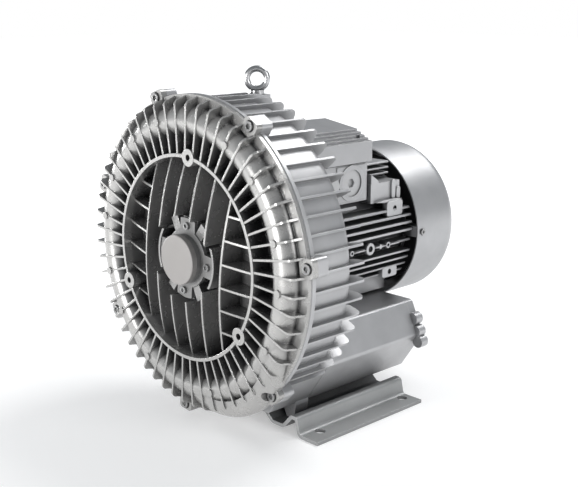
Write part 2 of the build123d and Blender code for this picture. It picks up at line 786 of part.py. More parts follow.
# Rear housing: the other half of the channel, its paddle fins, the ports and the motor seat
with BuildPart() as housing_fin:
    with BuildSketch(Plane.XZ):
        with BuildLine():
            side_top = (HOUSING_FIN_R, -HOUSING_FIN_BACK_D + PADDLE_RADIUS)
            back_top = (HOUSING_FIN_R - PADDLE_RADIUS, -HOUSING_FIN_BACK_D)
            back_low = (HOUSING_FIN_INNER_R + PADDLE_RADIUS, -HOUSING_FIN_BACK_D)
            side_low = (HOUSING_FIN_INNER_R, -HOUSING_FIN_BACK_D + PADDLE_RADIUS)
            inside = (HOUSING_FIN_INNER_R, -HOUSING_TORUS_D)
            front_low = (BORE_R, -FLANGE_BACK_D + 1)
            Line(back_top, back_low)
            TangentArc(side_low, back_low, tangent=(0, -1))
            Polyline(side_low, inside, front_low, (HOUSING_FIN_R, -FLANGE_BACK_D + 1), side_top)
            TangentArc(side_top, back_top, tangent=(0, -1))
        make_face()
    extrude(amount=FIN_T / 2, both=True)

first_fin = ceil((BOTTOM_ANGLE + BARE_HALF_ANGLE - FIN_START) / FIN_STEP)
last_fin = floor((BOTTOM_ANGLE - BARE_HALF_ANGLE + 360 - FIN_START) / FIN_STEP)
fins_kept = last_fin - first_fin + 1

with BuildPart() as rear_housing:
    with BuildSketch(section_plane()):
        with BuildLine():
            wall_bend = (WALL_R, HOUSING_TORUS_D)
            crest = (CHANNEL_R, HOUSING_CREST_D)
            inner_flank = (CHANNEL_R - TORUS_R, HOUSING_TORUS_D)
            joint_edge = (FLANGE_R - JOINT_CHAMFER, JOINT_D)
            rim = (FLANGE_R, JOINT_D + JOINT_CHAMFER)
            Polyline((0, JOINT_D), joint_edge, rim, (FLANGE_R, FLANGE_BACK_D), (WALL_R, FLANGE_BACK_D), wall_bend)
            TangentArc(wall_bend, crest, tangent=(0, 1))
            TangentArc(inner_flank, crest, tangent=(0, 1))
            Polyline(
                inner_flank,
                (CHANNEL_R - TORUS_R, HOUSING_BACK_D),
                (COLLAR_R, HOUSING_BACK_D),
                (COLLAR_R, COLLAR_BACK_D),
                (0, COLLAR_BACK_D),
                (0, JOINT_D),
            )
        make_face()
    revolve(axis=SHAFT_AXIS)
    with Locations(across(0)):
        with PolarLocations(0, fins_kept, start_angle=FIN_START + first_fin * FIN_STEP,
                            angular_range=fins_kept * FIN_STEP):
            add(housing_fin.part)
    # Clamp lugs
    with BuildSketch(across(LUG_BACK_D)):
        with PolarLocations(LUG_MID_R, LUG_COUNT, start_angle=LUG_START):
            RectangleRounded(LUG_OUTER_R - LUG_INNER_R, LUG_WIDTH, LUG_CORNER)
    extrude(amount=LUG_BACK_D - JOINT_D)
    # Port blocks with their pads, and the two legs
    with BuildSketch(across(PORT_FACE_D)):
        with Locations((PORT_X, -PORT_DROP)):
            add(duct_outline())
        mirror(about=Plane.YZ)
    extrude(amount=PORT_FACE_D - PORT_BLOCK_FRONT_D)
    with BuildSketch(level_plane(FOOT_PLATEAU_H)):
        with Locations((PAD_X, FRONT_PAD_D), (-PAD_X, FRONT_PAD_D)):
            Rectangle(2 * PAD_HALF, 2 * PAD_HALF)
    extrude(amount=PORT_Z - DUCT_HALF_H - FOOT_PLATEAU_H + DUCT_WALL)
    with BuildSketch(across(PORT_FACE_D)):
        with BuildLine():
            Polyline(
                (LEG_X - LEG_TIP_HALF, FOOT_VALLEY_H - SHAFT_H),
                (LEG_X + LEG_TIP_HALF, FOOT_VALLEY_H - SHAFT_H),
                (LEG_X + LEG_KNEE_HALF, LEG_KNEE_H - SHAFT_H),
                (LEG_X + LEG_KNEE_HALF, PORT_Z - SHAFT_H),
                (LEG_X - LEG_HALF, PORT_Z - SHAFT_H),
                (LEG_X - LEG_HALF, LEG_KNEE_H - SHAFT_H),
                close=True,
            )
        make_face()
        mirror(about=Plane.YZ)
    extrude(amount=PORT_FACE_D - LEG_FRONT_D)
    # Lifting boss
    with BuildSketch(across(LIFT_BACK_D)):
        with Locations((0, (LIFT_TOP_R + LIFT_BOTTOM_R) / 2)):
            Rectangle(2 * LIFT_HALF_WIDTH, LIFT_TOP_R - LIFT_BOTTOM_R)
    extrude(amount=LIFT_BACK_D - JOINT_D)
    # Bores for the impeller, the seal, the drive bearing and the motor's register
    with BuildSketch(section_plane()):
        with BuildLine():
            Polyline(
                (0, JOINT_D - 1),
                (SPIGOT_WALL_R + SEAT_GAP, JOINT_D - 1),
                (SPIGOT_WALL_R + SEAT_GAP, COVER_FACE_D),
                (BORE_R, COVER_FACE_D),
                (BORE_R, HOUSING_FACE_D),
                (SEAL_OUTER_R + SEAT_GAP, HOUSING_FACE_D),
                (SEAL_OUTER_R + SEAT_GAP, REAR_SEAL_D + SEAL_WIDTH),
                (SEAL_SHOULDER_R, REAR_SEAL_D + SEAL_WIDTH),
                (SEAL_SHOULDER_R, DRIVE_BEARING_D),
                (DRIVE_BEARING[1] + SEAT_GAP, DRIVE_BEARING_D),
                (DRIVE_BEARING[1] + SEAT_GAP, DRIVE_BEARING_BACK_D),
                (HUB_WALL_R, DRIVE_BEARING_BACK_D),
                (HUB_WALL_R, POCKET_D),
                (POCKET_R, POCKET_D),
                (POCKET_R, REGISTER_D),
                (FRAME_R + SEAT_GAP, REGISTER_D),
                (FRAME_R + SEAT_GAP, COLLAR_BACK_D + 1),
                (0, COLLAR_BACK_D + 1),
                close=True,
            )
        make_face()
    revolve(axis=SHAFT_AXIS, mode=Mode.SUBTRACT)
    with BuildSketch(section_plane(STRIPPER_START)):
        add(make_face(channel_section(HOUSING_FACE_D - 1, HOUSING_TORUS_D, 1), mode=Mode.PRIVATE))
    revolve(axis=SHAFT_AXIS, revolution_arc=CHANNEL_SWEEP, mode=Mode.SUBTRACT)
    # Seal groove
    with BuildSketch(across(JOINT_D + SEAL_CORD / 2)):
        Circle(SEAL_CORD_R + SEAL_CORD)
        Circle(SEAL_CORD_R, mode=Mode.SUBTRACT)
    extrude(amount=SEAL_CORD, mode=Mode.SUBTRACT)
    # Port passages
    with BuildSketch(across(PORT_FACE_D + 1)):
        with Locations((PORT_X, -PORT_DROP), (-PORT_X, -PORT_DROP)):
            Circle(PORT_BORE_R)
    extrude(amount=PORT_FACE_D + 1 - HOUSING_TORUS_D, mode=Mode.SUBTRACT)
    # Threaded holes
    with BuildSketch(across(LUG_BACK_D + 1)):
        with PolarLocations(LUG_BOLT_R, LUG_COUNT, start_angle=LUG_START):
            Circle(CLAMP_BOLT_R)
    extrude(amount=LUG_BACK_D + 1, mode=Mode.SUBTRACT)
    with BuildSketch(across(COLLAR_BACK_D + 1)):
        with PolarLocations(FRAME_SCREW_PCR, 4, start_angle=45):
            Circle(FRAME_SCREW_R)
    extrude(amount=FRAME_SCREW_LENGTH, mode=Mode.SUBTRACT)
    with BuildSketch(across(DRIVE_BEARING_BACK_D + 1)):
        with PolarLocations(BEARING_COVER_PCR, 4):
            Circle(SMALL_SCREW_R)
    extrude(amount=SMALL_SCREW_LENGTH, mode=Mode.SUBTRACT)
    with BuildSketch(across(PORT_FACE_D)):
        for offset_x, offset_z in DUCT_BOLTS:
            with Locations((PORT_X + offset_x, offset_z - PORT_DROP), (-PORT_X - offset_x, offset_z - PORT_DROP)):
                Circle(DUCT_BOLT_R)
    extrude(amount=DUCT_BOLT_GRIP + 1, mode=Mode.SUBTRACT)
    with BuildSketch(level_plane(FOOT_PLATEAU_H)):
        with Locations((PAD_X, FRONT_PAD_D), (-PAD_X, FRONT_PAD_D)):
            Circle(FOOT_SCREW_R)
    extrude(amount=PAD_SCREW_DEPTH, mode=Mode.SUBTRACT)
    with BuildSketch(level_plane(FOOT_VALLEY_H)):
        with Locations((LEG_X, LEG_SCREW_D), (-LEG_X, LEG_SCREW_D)):
            Circle(FOOT_SCREW_R)
    extrude(amount=PAD_SCREW_DEPTH, mode=Mode.SUBTRACT)
    with BuildSketch(level_plane(SHAFT_H + LIFT_TOP_R)):
        with Locations((0, EYE_D)):
            Circle(EYE_SHANK_R)
    extrude(amount=-EYE_SHANK_LENGTH - 1, mode=Mode.SUBTRACT)
save(rear_housing.part, "rear_housing")

save(
    ring(SEAL_CORD_R, SEAL_CORD_R + SEAL_CORD, JOINT_D - SEAL_CORD / 2, JOINT_D + SEAL_CORD / 2),
    "casing_seal",
)

# Casing bolts, driven from the front into the housing's lugs
with BuildPart() as clamp_washers:
    with BuildSketch(across(CLAMP_SEAT_D)):
        with PolarLocations(LUG_BOLT_R, LUG_COUNT, start_angle=LUG_START):
            Circle(WASHER_R)
            Circle(CLAMP_BOLT_R + BOLT_CLEARANCE, mode=Mode.SUBTRACT)
    extrude(amount=WASHER_T)
save(clamp_washers.part, "clamp_washers")
save(
    fasteners(
        across(CLAMP_SEAT_D - WASHER_T),
        on_circle(LUG_BOLT_R, LUG_COUNT, LUG_START),
        CLAMP_BOLT_R - SEAT_GAP,
        CLAMP_BOLT_LENGTH,
        CLAMP_BOLT_R * CAP_HEAD,
        CLAMP_BOLT_R * CAP_HEAD_H,
    ),
    "clamp_bolts",
)

save(lip_seal(REAR_SEAL_SHAFT_R, REAR_SEAL_D), "rear_shaft_seal")
save(bearing(DRIVE_BEARING, DRIVE_BEARING_D), "drive_bearing")

with BuildPart() as bearing_cover:
    with BuildSketch(across(DRIVE_BEARING_BACK_D + BEARING_COVER_T)):
        Circle(BEARING_COVER_R)
        Circle(BEARING_COVER_BORE, mode=Mode.SUBTRACT)
        with PolarLocations(BEARING_COVER_PCR, 4):
            Circle(SMALL_SCREW_R + BOLT_CLEARANCE, mode=Mode.SUBTRACT)
    extrude(amount=BEARING_COVER_T)
save(bearing_cover.part, "bearing_cover")
save(
    fasteners(
        behind(DRIVE_BEARING_BACK_D + BEARING_COVER_T),
        on_circle(BEARING_COVER_PCR, 4, 0),
        SMALL_SCREW_R - SEAT_GAP,
        SMALL_SCREW_LENGTH,
        SMALL_SCREW_R * CAP_HEAD,
        SMALL_SCREW_R * CAP_HEAD_H,
    ),
    "bearing_cover_screws",
)

# Eyebolt, with its ring half turned to the front
with BuildPart() as eyebolt:
    with BuildSketch(level_plane(SHAFT_H + LIFT_TOP_R)):
        with Locations((0, EYE_D)):
            Circle(EYE_COLLAR_R)
    extrude(amount=EYE_COLLAR_H)
    with BuildSketch(level_plane(SHAFT_H + LIFT_TOP_R)):
        with Locations((0, EYE_D)):
            Circle(EYE_SHANK_R - SEAT_GAP)
    extrude(amount=-EYE_SHANK_LENGTH)
    eye_height = SHAFT_H + LIFT_TOP_R + EYE_COLLAR_H / 2 + EYE_OUTER_R
    with Locations(Plane(origin=(0, FRONT_Y + EYE_D, eye_height), z_dir=(1, -1, 0))):
        Torus(EYE_OUTER_R - EYE_SECTION_R, EYE_SECTION_R)
save(eyebolt.part, "eyebolt")

# Foot: one pressed plate with a raised middle, two valleys and two floor flanges
half_profile = (
    (FOOT_PLATEAU_X, FOOT_PLATEAU_H),
    (FOOT_VALLEY_IN_X, FOOT_VALLEY_H),
    (FOOT_VALLEY_OUT_X, FOOT_VALLEY_H),
    (FOOT_CREST_IN_X, FOOT_CREST_H),
    (FOOT_CREST_X, FOOT_CREST_H),
    (FOOT_RISER_X, FOOT_T),
    (FOOT_HALF_WIDTH, FOOT_T),
)
with BuildPart() as foot_plate:
    with BuildSketch(Plane(origin=(0, FRONT_Y + FOOT_FRONT_D, 0), x_dir=(1, 0, 0), z_dir=(0, -1, 0))):
        with BuildLine():
            FilletPolyline(*[(-x, h) for x, h in reversed(half_profile)], *half_profile, radius=FOOT_BEND)
            offset(amount=FOOT_T, side=Side.RIGHT)
        make_face()
    extrude(amount=-FOOT_LENGTH)
    with BuildSketch(Plane.XY):
        with GridLocations(2 * FOOT_HOLE_X, 2 * FOOT_HOLE_Y, 2, 2):
            Circle(FOOT_HOLE_R)
    extrude(amount=2 * FOOT_T, mode=Mode.SUBTRACT)
    with BuildSketch(level_plane(0)):
        for side in (1, -1):
            with Locations((side * PAD_X, FRONT_PAD_D), (side * PAD_X, REAR_PAD_D), (side * LEG_X, LEG_SCREW_D)):
                Circle(FOOT_SCREW_R + BOLT_CLEARANCE)
    extrude(amount=FOOT_CREST_H, mode=Mode.SUBTRACT)
save(foot_plate.part, "foot_plate")

with BuildPart() as foot_screws:
    pads = [(side * PAD_X, -depth) for side in (1, -1) for depth in (FRONT_PAD_D, REAR_PAD_D)]
    legs = [(side * LEG_X, -LEG_SCREW_D) for side in (1, -1)]
    for places, height in ((pads, FOOT_PLATEAU_H), (legs, FOOT_VALLEY_H)):
        under = Plane(origin=(0, FRONT_Y, height - FOOT_T), x_dir=(1, 0, 0), z_dir=(0, 0, -1))
        add(fasteners(under, places, FOOT_SCREW_R - SEAT_GAP, PAD_SCREW_DEPTH + FOOT_T - THREAD_RUNOUT, FOOT_HEAD_R, FOOT_HEAD_H))
save(foot_screws.part, "foot_screws")

# Silencers: a hollow duct, an absorber tube and a lobed end cover with the threaded port
with BuildPart() as duct:
    with BuildSketch(across(DUCT_BACK_D)):
        with Locations((PORT_X, -PORT_DROP)):
            add(duct_outline())
    extrude(amount=DUCT_BACK_D - DUCT_FRONT_D)
    with BuildSketch(across(DUCT_BACK_D)):
        with Locations((PORT_X, -PORT_DROP)):
            add(duct_outline(DUCT_WALL))
    extrude(amount=DUCT_BACK_D - DUCT_FRONT_D - DUCT_FRONT_WALL, mode=Mode.SUBTRACT)
    with BuildSketch(level_plane(FOOT_PLATEAU_H)):
        with Locations((PAD_X, REAR_PAD_D)):
            Rectangle(2 * PAD_HALF, 2 * PAD_HALF)
    extrude(amount=PORT_Z - DUCT_HALF_H - FOOT_PLATEAU_H + DUCT_WALL)
    with BuildSketch(level_plane(FOOT_PLATEAU_H)):
        with Locations((PAD_X, REAR_PAD_D)):
            Circle(PAD_BOSS_R)
    extrude(amount=PAD_SCREW_DEPTH + PAD_BOSS_END)
    with BuildSketch(level_plane(FOOT_PLATEAU_H)):
        with Locations((PAD_X, REAR_PAD_D)):
            Circle(FOOT_SCREW_R)
    extrude(amount=PAD_SCREW_DEPTH, mode=Mode.SUBTRACT)
    with BuildSketch(across(DUCT_BACK_D)):
        with Locations((PORT_X, -PORT_DROP)):
            Circle(PORT_BORE_R)
        for offset_x, offset_z in DUCT_BOLTS:
            with Locations((PORT_X + offset_x, offset_z - PORT_DROP)):
                Circle(DUCT_BOLT_R + BOLT_CLEARANCE)
    extrude(amount=DUCT_BACK_D - DUCT_FRONT_D + 1, mode=Mode.SUBTRACT)

with BuildPart() as duct_cover:
    with BuildSketch(across(DUCT_END_D)):
        with Locations((PORT_X, -PORT_DROP)):
            add(duct_outline())
        for offset_x, offset_z in DUCT_LOBES:
            with Locations((PORT_X + offset_x, offset_z - PORT_DROP)):
                Circle(DUCT_COVER_LOBE_R)
    extrude(amount=DUCT_COVER_T)
    with BuildSketch(across(DUCT_END_D)):
        with Locations((PORT_X, -PORT_DROP)):
            Circle(PORT_THREAD_R)
        for offset_x, offset_z in DUCT_BOLTS:
            with Locations((PORT_X + offset_x, offset_z - PORT_DROP)):
                Circle(DUCT_BOLT_R + BOLT_CLEARANCE)
    extrude(amount=DUCT_COVER_T, mode=Mode.SUBTRACT)

with BuildPart() as duct_gasket:
    with BuildSketch(across(DUCT_FRONT_D)):
        with Locations((PORT_X, -PORT_DROP)):
            add(duct_outline(PORT_GASKET_T))
            Circle(PORT_BORE_R, mode=Mode.SUBTRACT)
        for offset_x, offset_z in DUCT_BOLTS:
            with Locations((PORT_X + offset_x, offset_z - PORT_DROP)):
                Circle(DUCT_BOLT_R + BOLT_CLEARANCE, mode=Mode.SUBTRACT)
    extrude(amount=PORT_GASKET_T)

with BuildPart() as absorber:
    with BuildSketch(across(DUCT_BACK_D)):
        with Locations((PORT_X, -PORT_DROP)):
            Circle(INSERT_OUTER_R)
            Circle(INSERT_INNER_R, mode=Mode.SUBTRACT)
    extrude(amount=DUCT_BACK_D - DUCT_FRONT_D - DUCT_FRONT_WALL)

duct_bolts = fasteners(
    behind(DUCT_END_D),
    [(-PORT_X - offset_x, offset_z - PORT_DROP) for offset_x, offset_z in DUCT_BOLTS],
    DUCT_BOLT_R - SEAT_GAP,
    DUCT_END_D - PORT_FACE_D + DUCT_BOLT_GRIP,
    DUCT_BOLT_R * CAP_HEAD,
    DUCT_BOLT_R * CAP_HEAD_H,
)

for name, piece in (
    ("silencer", duct.part),
    ("silencer_cover", duct_cover.part),
    ("silencer_gasket", duct_gasket.part),
    ("silencer_absorber", absorber.part),
    ("silencer_bolts", duct_bolts),
):
    save(piece, f"{name}_right")
    save(mirror(piece, about=Plane.YZ, mode=Mode.PRIVATE), f"{name}_left")

# Motor frame: a finned tube with the stator pressed into it
side_fins = [SIDE_FIN_MID + side * (1.5 + step) * SIDE_FIN_PITCH for side in (-1, 1) for step in range(4)]
with BuildPart() as motor_frame:
    with BuildSketch(section_plane()):
        with BuildLine():
            Polyline(
                (FRAME_BORE_R - FRAME_SHOULDER, REGISTER_D + SEAT_GAP),
                (FRAME_R, REGISTER_D + SEAT_GAP),
                (FRAME_R, COLLAR_BACK_D),
                (FRAME_FLANGE_R, COLLAR_BACK_D),
                (FRAME_FLANGE_R, COLLAR_BACK_D + FRAME_FLANGE_T),
                (FRAME_R, COLLAR_BACK_D + FRAME_FLANGE_T),
                (FRAME_R, FRAME_BACK_D),
                (FRAME_BORE_R, FRAME_BACK_D),
                (FRAME_BORE_R, STACK_FRONT_D),
                (FRAME_BORE_R - FRAME_SHOULDER, STACK_FRONT_D),
                close=True,
            )
        make_face()
    revolve(axis=SHAFT_AXIS)
    with BuildSketch(across(FRAME_FINS_BACK_D)):
        with Locations(*[(0, height) for height in side_fins]):
            Rectangle(2 * FRAME_FIN_R, FRAME_FIN_T)
        with Locations((0, SIDE_FIN_MID)):
            Rectangle(2 * SIDE_RIB_X, FRAME_FIN_T)
        Circle(FRAME_FIN_R, mode=Mode.INTERSECT)
        with Locations((0, -LAND_H / 2)):
            Rectangle(2 * BELLY_HALF, LAND_H)
        with Locations((0, LAND_H / 2)):
            Rectangle(2 * LAND_HALF, LAND_H)
        Circle(FRAME_BORE_R + FRAME_WALL / 2, mode=Mode.SUBTRACT)
    extrude(amount=FRAME_FINS_BACK_D - FRAME_FINS_D)
    with BuildSketch(across(BAND_BACK_D)):
        with Locations((0, (BAND_LOW + BAND_HIGH) / 2)):
            Rectangle(2 * BAND_X, BAND_HIGH - BAND_LOW)
        top_fin_h = BAND_HIGH + TOP_FIN_COUNT * TOP_FIN_PITCH
        with Locations((0, (BAND_HIGH + top_fin_h) / 2)):
            Rectangle(2 * LAND_HALF, top_fin_h - BAND_HIGH)
        for step in range(TOP_FIN_COUNT):
            with Locations((0, BAND_HIGH + (step + 1) * TOP_FIN_PITCH)):
                SlotOverall(2 * TOP_FIN_X, FRAME_FIN_T)
        Circle(FRAME_BORE_R + FRAME_WALL / 2, mode=Mode.SUBTRACT)
    extrude(amount=BAND_BACK_D - BAND_FRONT_D)
    with BuildSketch(across(FRAME_BACK_D)):
        with PolarLocations(EAR_PCR, 4, start_angle=45):
            Circle(EAR_R)
        Circle(FRAME_BORE_R + FRAME_WALL / 2, mode=Mode.SUBTRACT)
    extrude(amount=EAR_LENGTH)
    with BuildSketch(across(FRAME_BACK_D)):
        with PolarLocations(EAR_PCR, 4, start_angle=45):
            Circle(FRAME_SCREW_R)
    extrude(amount=FRAME_SCREW_LENGTH, mode=Mode.SUBTRACT)
    with BuildSketch(across(COLLAR_BACK_D + FRAME_FLANGE_T)):
        with PolarLocations(FRAME_SCREW_PCR, 4, start_angle=45):
            Circle(FRAME_SCREW_R + BOLT_CLEARANCE)
    extrude(amount=FRAME_FLANGE_T, mode=Mode.SUBTRACT)
save(motor_frame.part, "motor_frame")
save(
    fasteners(
        behind(COLLAR_BACK_D + FRAME_FLANGE_T),
        on_circle(FRAME_SCREW_PCR, 4, 45),
        FRAME_SCREW_R - SEAT_GAP,
        FRAME_SCREW_LENGTH + FRAME_FLANGE_T - THREAD_RUNOUT,
        FRAME_SCREW_R * CAP_HEAD,
        FRAME_SCREW_R * CAP_HEAD_H,
    ),
    "motor_flange_screws",
)

with BuildPart() as stator_core:
    with BuildSketch(across(STACK_BACK_D)):
        Circle(FRAME_BORE_R - SEAT_GAP)
        Circle(STATOR_BORE_R, mode=Mode.SUBTRACT)
    extrude(amount=STACK_BACK_D - STACK_FRONT_D)
save(stator_core.part, "stator_core")

with BuildPart() as stator_windings:
    with BuildSketch(section_plane()):
        for depth in (STACK_FRONT_D - COIL_LENGTH / 2, STACK_BACK_D + COIL_LENGTH / 2):
            with Locations(((COIL_INNER_R + COIL_OUTER_R) / 2, depth)):
                Rectangle(COIL_OUTER_R - COIL_INNER_R, COIL_LENGTH)
    revolve(axis=SHAFT_AXIS)
    fillet(stator_windings.edges().group_by(Axis.Y)[0], END_RING_WIDTH / 2)
    fillet(stator_windings.edges().group_by(Axis.Y)[-1], END_RING_WIDTH / 2)
save(stator_windings.part, "stator_windings")

# End shield with the rear bearing and four arms that carry the cowl
with BuildPart() as end_shield:
    with BuildSketch(across(FRAME_BACK_D + SHIELD_T)):
        Circle(SHIELD_R)
        with PolarLocations(EAR_PCR, 4, start_angle=45):
            Circle(EAR_R)
    extrude(amount=SHIELD_T)
    with BuildSketch(across(FRAME_BACK_D)):
        Circle(FRAME_BORE_R - SEAT_GAP)
        Circle(FRAME_BORE_R - FRAME_WALL, mode=Mode.SUBTRACT)
    extrude(amount=SHIELD_T)
    with BuildSketch(across(FRAME_BACK_D + SHIELD_ARM_T)):
        Rectangle(2 * COWL_R, SHIELD_ARM_W)
        Rectangle(SHIELD_ARM_W, 2 * COWL_R)
        Circle(COWL_R - COWL_T - SEAT_GAP, mode=Mode.INTERSECT)
    extrude(amount=SHIELD_ARM_T)
    with BuildSketch(across(SHIELD_BACK_D)):
        Circle(SHIELD_HUB_R)
    extrude(amount=SHIELD_BACK_D - FRAME_BACK_D)
    with BuildSketch(across(SPRING_D + SPRING_T)):
        Circle(REAR_BEARING[1] + SEAT_GAP)
    extrude(amount=SPRING_D + SPRING_T - FRAME_BACK_D, mode=Mode.SUBTRACT)
    with BuildSketch(across(SHIELD_BACK_D)):
        Circle(SHIELD_BORE_R)
    extrude(amount=SHIELD_BACK_D - FRAME_BACK_D, mode=Mode.SUBTRACT)
    with BuildSketch(across(FRAME_BACK_D + SHIELD_T)):
        with PolarLocations(EAR_PCR, 4, start_angle=45):
            Circle(FRAME_SCREW_R + BOLT_CLEARANCE)
    extrude(amount=SHIELD_T, mode=Mode.SUBTRACT)
    for angle in (0, 90, 180, 270):
        with BuildSketch(cowl_screw_plane(angle)):
            Circle(COWL_SCREW_R)
        extrude(amount=-COWL_SCREW_LENGTH, mode=Mode.SUBTRACT)
save(end_shield.part, "end_shield")
save(
    fasteners(
        behind(FRAME_BACK_D + SHIELD_T),
        on_circle(EAR_PCR, 4, 45),
        FRAME_SCREW_R - SEAT_GAP,
        FRAME_SCREW_LENGTH + SHIELD_T - THREAD_RUNOUT,
        FRAME_SCREW_R * CAP_HEAD,
        FRAME_SCREW_R * CAP_HEAD_H,
    ),
    "end_shield_screws",
)
save(bearing(REAR_BEARING, REAR_BEARING_D), "rear_bearing")
spring_outer_r = REAR_BEARING[1] - SEAT_GAP
save(ring(spring_outer_r - SPRING_WIDTH, spring_outer_r, SPRING_D, SPRING_D + SPRING_T), "bearing_spring")

# Fan cowl: a drawn cup with rings of radial slots in its back
with BuildPart() as fan_cowl:
    with BuildSketch(section_plane()):
        with BuildLine():
            bend = (COWL_R, COWL_BEND_D)
            back = (COWL_R - COWL_BEND_R, COWL_BACK_D)
            Line((0, COWL_BACK_D), back)
            TangentArc(bend, back, tangent=(0, 1))
            Polyline(bend, (COWL_R, COWL_FRONT_D), (COWL_R - COWL_T, COWL_FRONT_D), (COWL_R - COWL_T, COWL_BEND_D))
            inner_back = (COWL_R - COWL_BEND_R, COWL_BACK_D - COWL_T)
            TangentArc((COWL_R - COWL_T, COWL_BEND_D), inner_back, tangent=(0, 1))
            Polyline(inner_back, (0, COWL_BACK_D - COWL_T), (0, COWL_BACK_D))
        make_face()
    revolve(axis=SHAFT_AXIS)
    with BuildSketch(across(COWL_BACK_D)):
        for inner_r, outer_r, count in COWL_SLOT_ROWS:
            with PolarLocations((inner_r + outer_r) / 2, count):
                SlotOverall(outer_r - inner_r, COWL_SLOT_W)
    extrude(amount=COWL_T + 1, both=True, mode=Mode.SUBTRACT)
    for angle in (0, 90, 180, 270):
        with BuildSketch(cowl_screw_plane(angle)):
            Circle(COWL_SCREW_R + BOLT_CLEARANCE)
        extrude(amount=-COWL_T - 1, mode=Mode.SUBTRACT)
        with BuildSketch(cowl_screw_plane(angle)):
            Circle(COWL_HEAD_R + COWL_DIMPLE_GAP)
        extrude(amount=COWL_T, mode=Mode.SUBTRACT)
save(fan_cowl.part, "fan_cowl")

with BuildPart() as cowl_screws:
    for angle in (0, 90, 180, 270):
        seat = cowl_screw_plane(angle)
        add(
            fasteners(
                seat,
                [(0, 0)],
                COWL_SCREW_R - SEAT_GAP,
                COWL_SCREW_LENGTH - THREAD_RUNOUT,
                COWL_HEAD_R,
                COWL_SCREW_R * CAP_HEAD_H,
            )
        )
save(cowl_screws.part, "cowl_screws")

# Terminal box: a saddle base on the frame's land, a gasket and a stepped lid
pillars = [(side * BOX_PILLAR_X, end) for side in (1, -1) for end in (BOX_FRONT_D + BOX_PILLAR_INSET,
                                                                     BOX_BACK_D - BOX_PILLAR_INSET)]
with BuildPart() as saddle:
    with BuildSketch(across(BOX_BACK_D + 1)):
        Circle(BOX_ARCH_R + BOX_ARCH_T)
        with Locations((0, BOX_FLOOR_H / 2)):
            Rectangle(2 * LAND_HALF + 2 * BOX_ARCH_T, BOX_FLOOR_H)
    extrude(amount=BOX_BACK_D - BOX_FRONT_D + 2)

with BuildPart() as box_cavity:
    with BuildSketch(level_plane(SHAFT_H + BOX_RIM)):
        with Locations((0, BOX_MID_D)):
            Rectangle(2 * (BOX_HALF - BOX_WALL), BOX_BACK_D - BOX_FRONT_D - 2 * BOX_WALL)
    extrude(amount=BOX_BOTTOM + BOX_WALL - BOX_RIM)
    add(saddle.part, mode=Mode.SUBTRACT)

with BuildPart() as terminal_box:
    with BuildSketch(level_plane(SHAFT_H + BOX_RIM)):
        with Locations((0, BOX_MID_D)):
            RectangleRounded(2 * BOX_HALF, BOX_BACK_D - BOX_FRONT_D, BOX_WALL)
    extrude(amount=BOX_BOTTOM - BOX_RIM)
    add(box_cavity.part, mode=Mode.SUBTRACT)
    with BuildSketch(level_plane(SHAFT_H + BOX_RIM)):
        with Locations(*pillars):
            Circle(BOX_PILLAR_R)
    extrude(amount=BOX_PILLAR_FOOT - BOX_RIM)
    for side in (1, -1):
        with BuildSketch(side_plane(side * BOX_HALF)):
            with Locations((ENTRY_D, ENTRY_H)):
                Rectangle(2 * ENTRY_PAD_HALF, 2 * ENTRY_PAD_HALF_H)
        extrude(amount=side * ENTRY_PAD_T)
        with BuildSketch(side_plane(side * BOX_HALF)):
            with Locations((ENTRY_D, ENTRY_H)):
                Circle(ENTRY_BOSS_R)
            with Locations((SMALL_ENTRY_D, ENTRY_H)):
                Circle(SMALL_BOSS_R)
        extrude(amount=side * ENTRY_BOSS_T)
    # Seat on the motor: the land under the middle and an arch round the tube
    with BuildSketch(across(BOX_BACK_D + 1)):
        Circle(BOX_ARCH_R)
        with Locations((0, LAND_H + BOX_ARCH_R)):
            Rectangle(2 * BOX_ARCH_R, 2 * BOX_ARCH_R, mode=Mode.SUBTRACT)
        with Locations((0, LAND_H / 2)):
            Rectangle(2 * LAND_HALF + 2, LAND_H)
    extrude(amount=BOX_BACK_D - BOX_FRONT_D + 2, mode=Mode.SUBTRACT)
    with BuildSketch(side_plane(BOX_HALF + ENTRY_BOSS_T)):
        with Locations((ENTRY_D, ENTRY_H)):
            Circle(ENTRY_R)
        with Locations((SMALL_ENTRY_D, ENTRY_H)):
            Circle(SMALL_ENTRY_R)
    extrude(amount=-ENTRY_BOSS_T - BOX_WALL - 1, mode=Mode.SUBTRACT)
    with BuildSketch(level_plane(SHAFT_H + BOX_RIM)):
        with Locations(*pillars):
            Circle(BOX_SCREW_R)
    extrude(amount=-BOX_SCREW_DEPTH, mode=Mode.SUBTRACT)
save(terminal_box.part, "terminal_box")

with BuildPart() as box_gasket:
    with BuildSketch(level_plane(SHAFT_H + BOX_RIM)):
        with Locations((0, BOX_MID_D)):
            RectangleRounded(2 * BOX_HALF, BOX_BACK_D - BOX_FRONT_D, BOX_WALL)
            Rectangle(2 * (BOX_HALF - BOX_WALL), BOX_BACK_D - BOX_FRONT_D - 2 * BOX_WALL, mode=Mode.SUBTRACT)
    extrude(amount=BOX_GASKET_T)
save(box_gasket.part, "terminal_box_gasket")

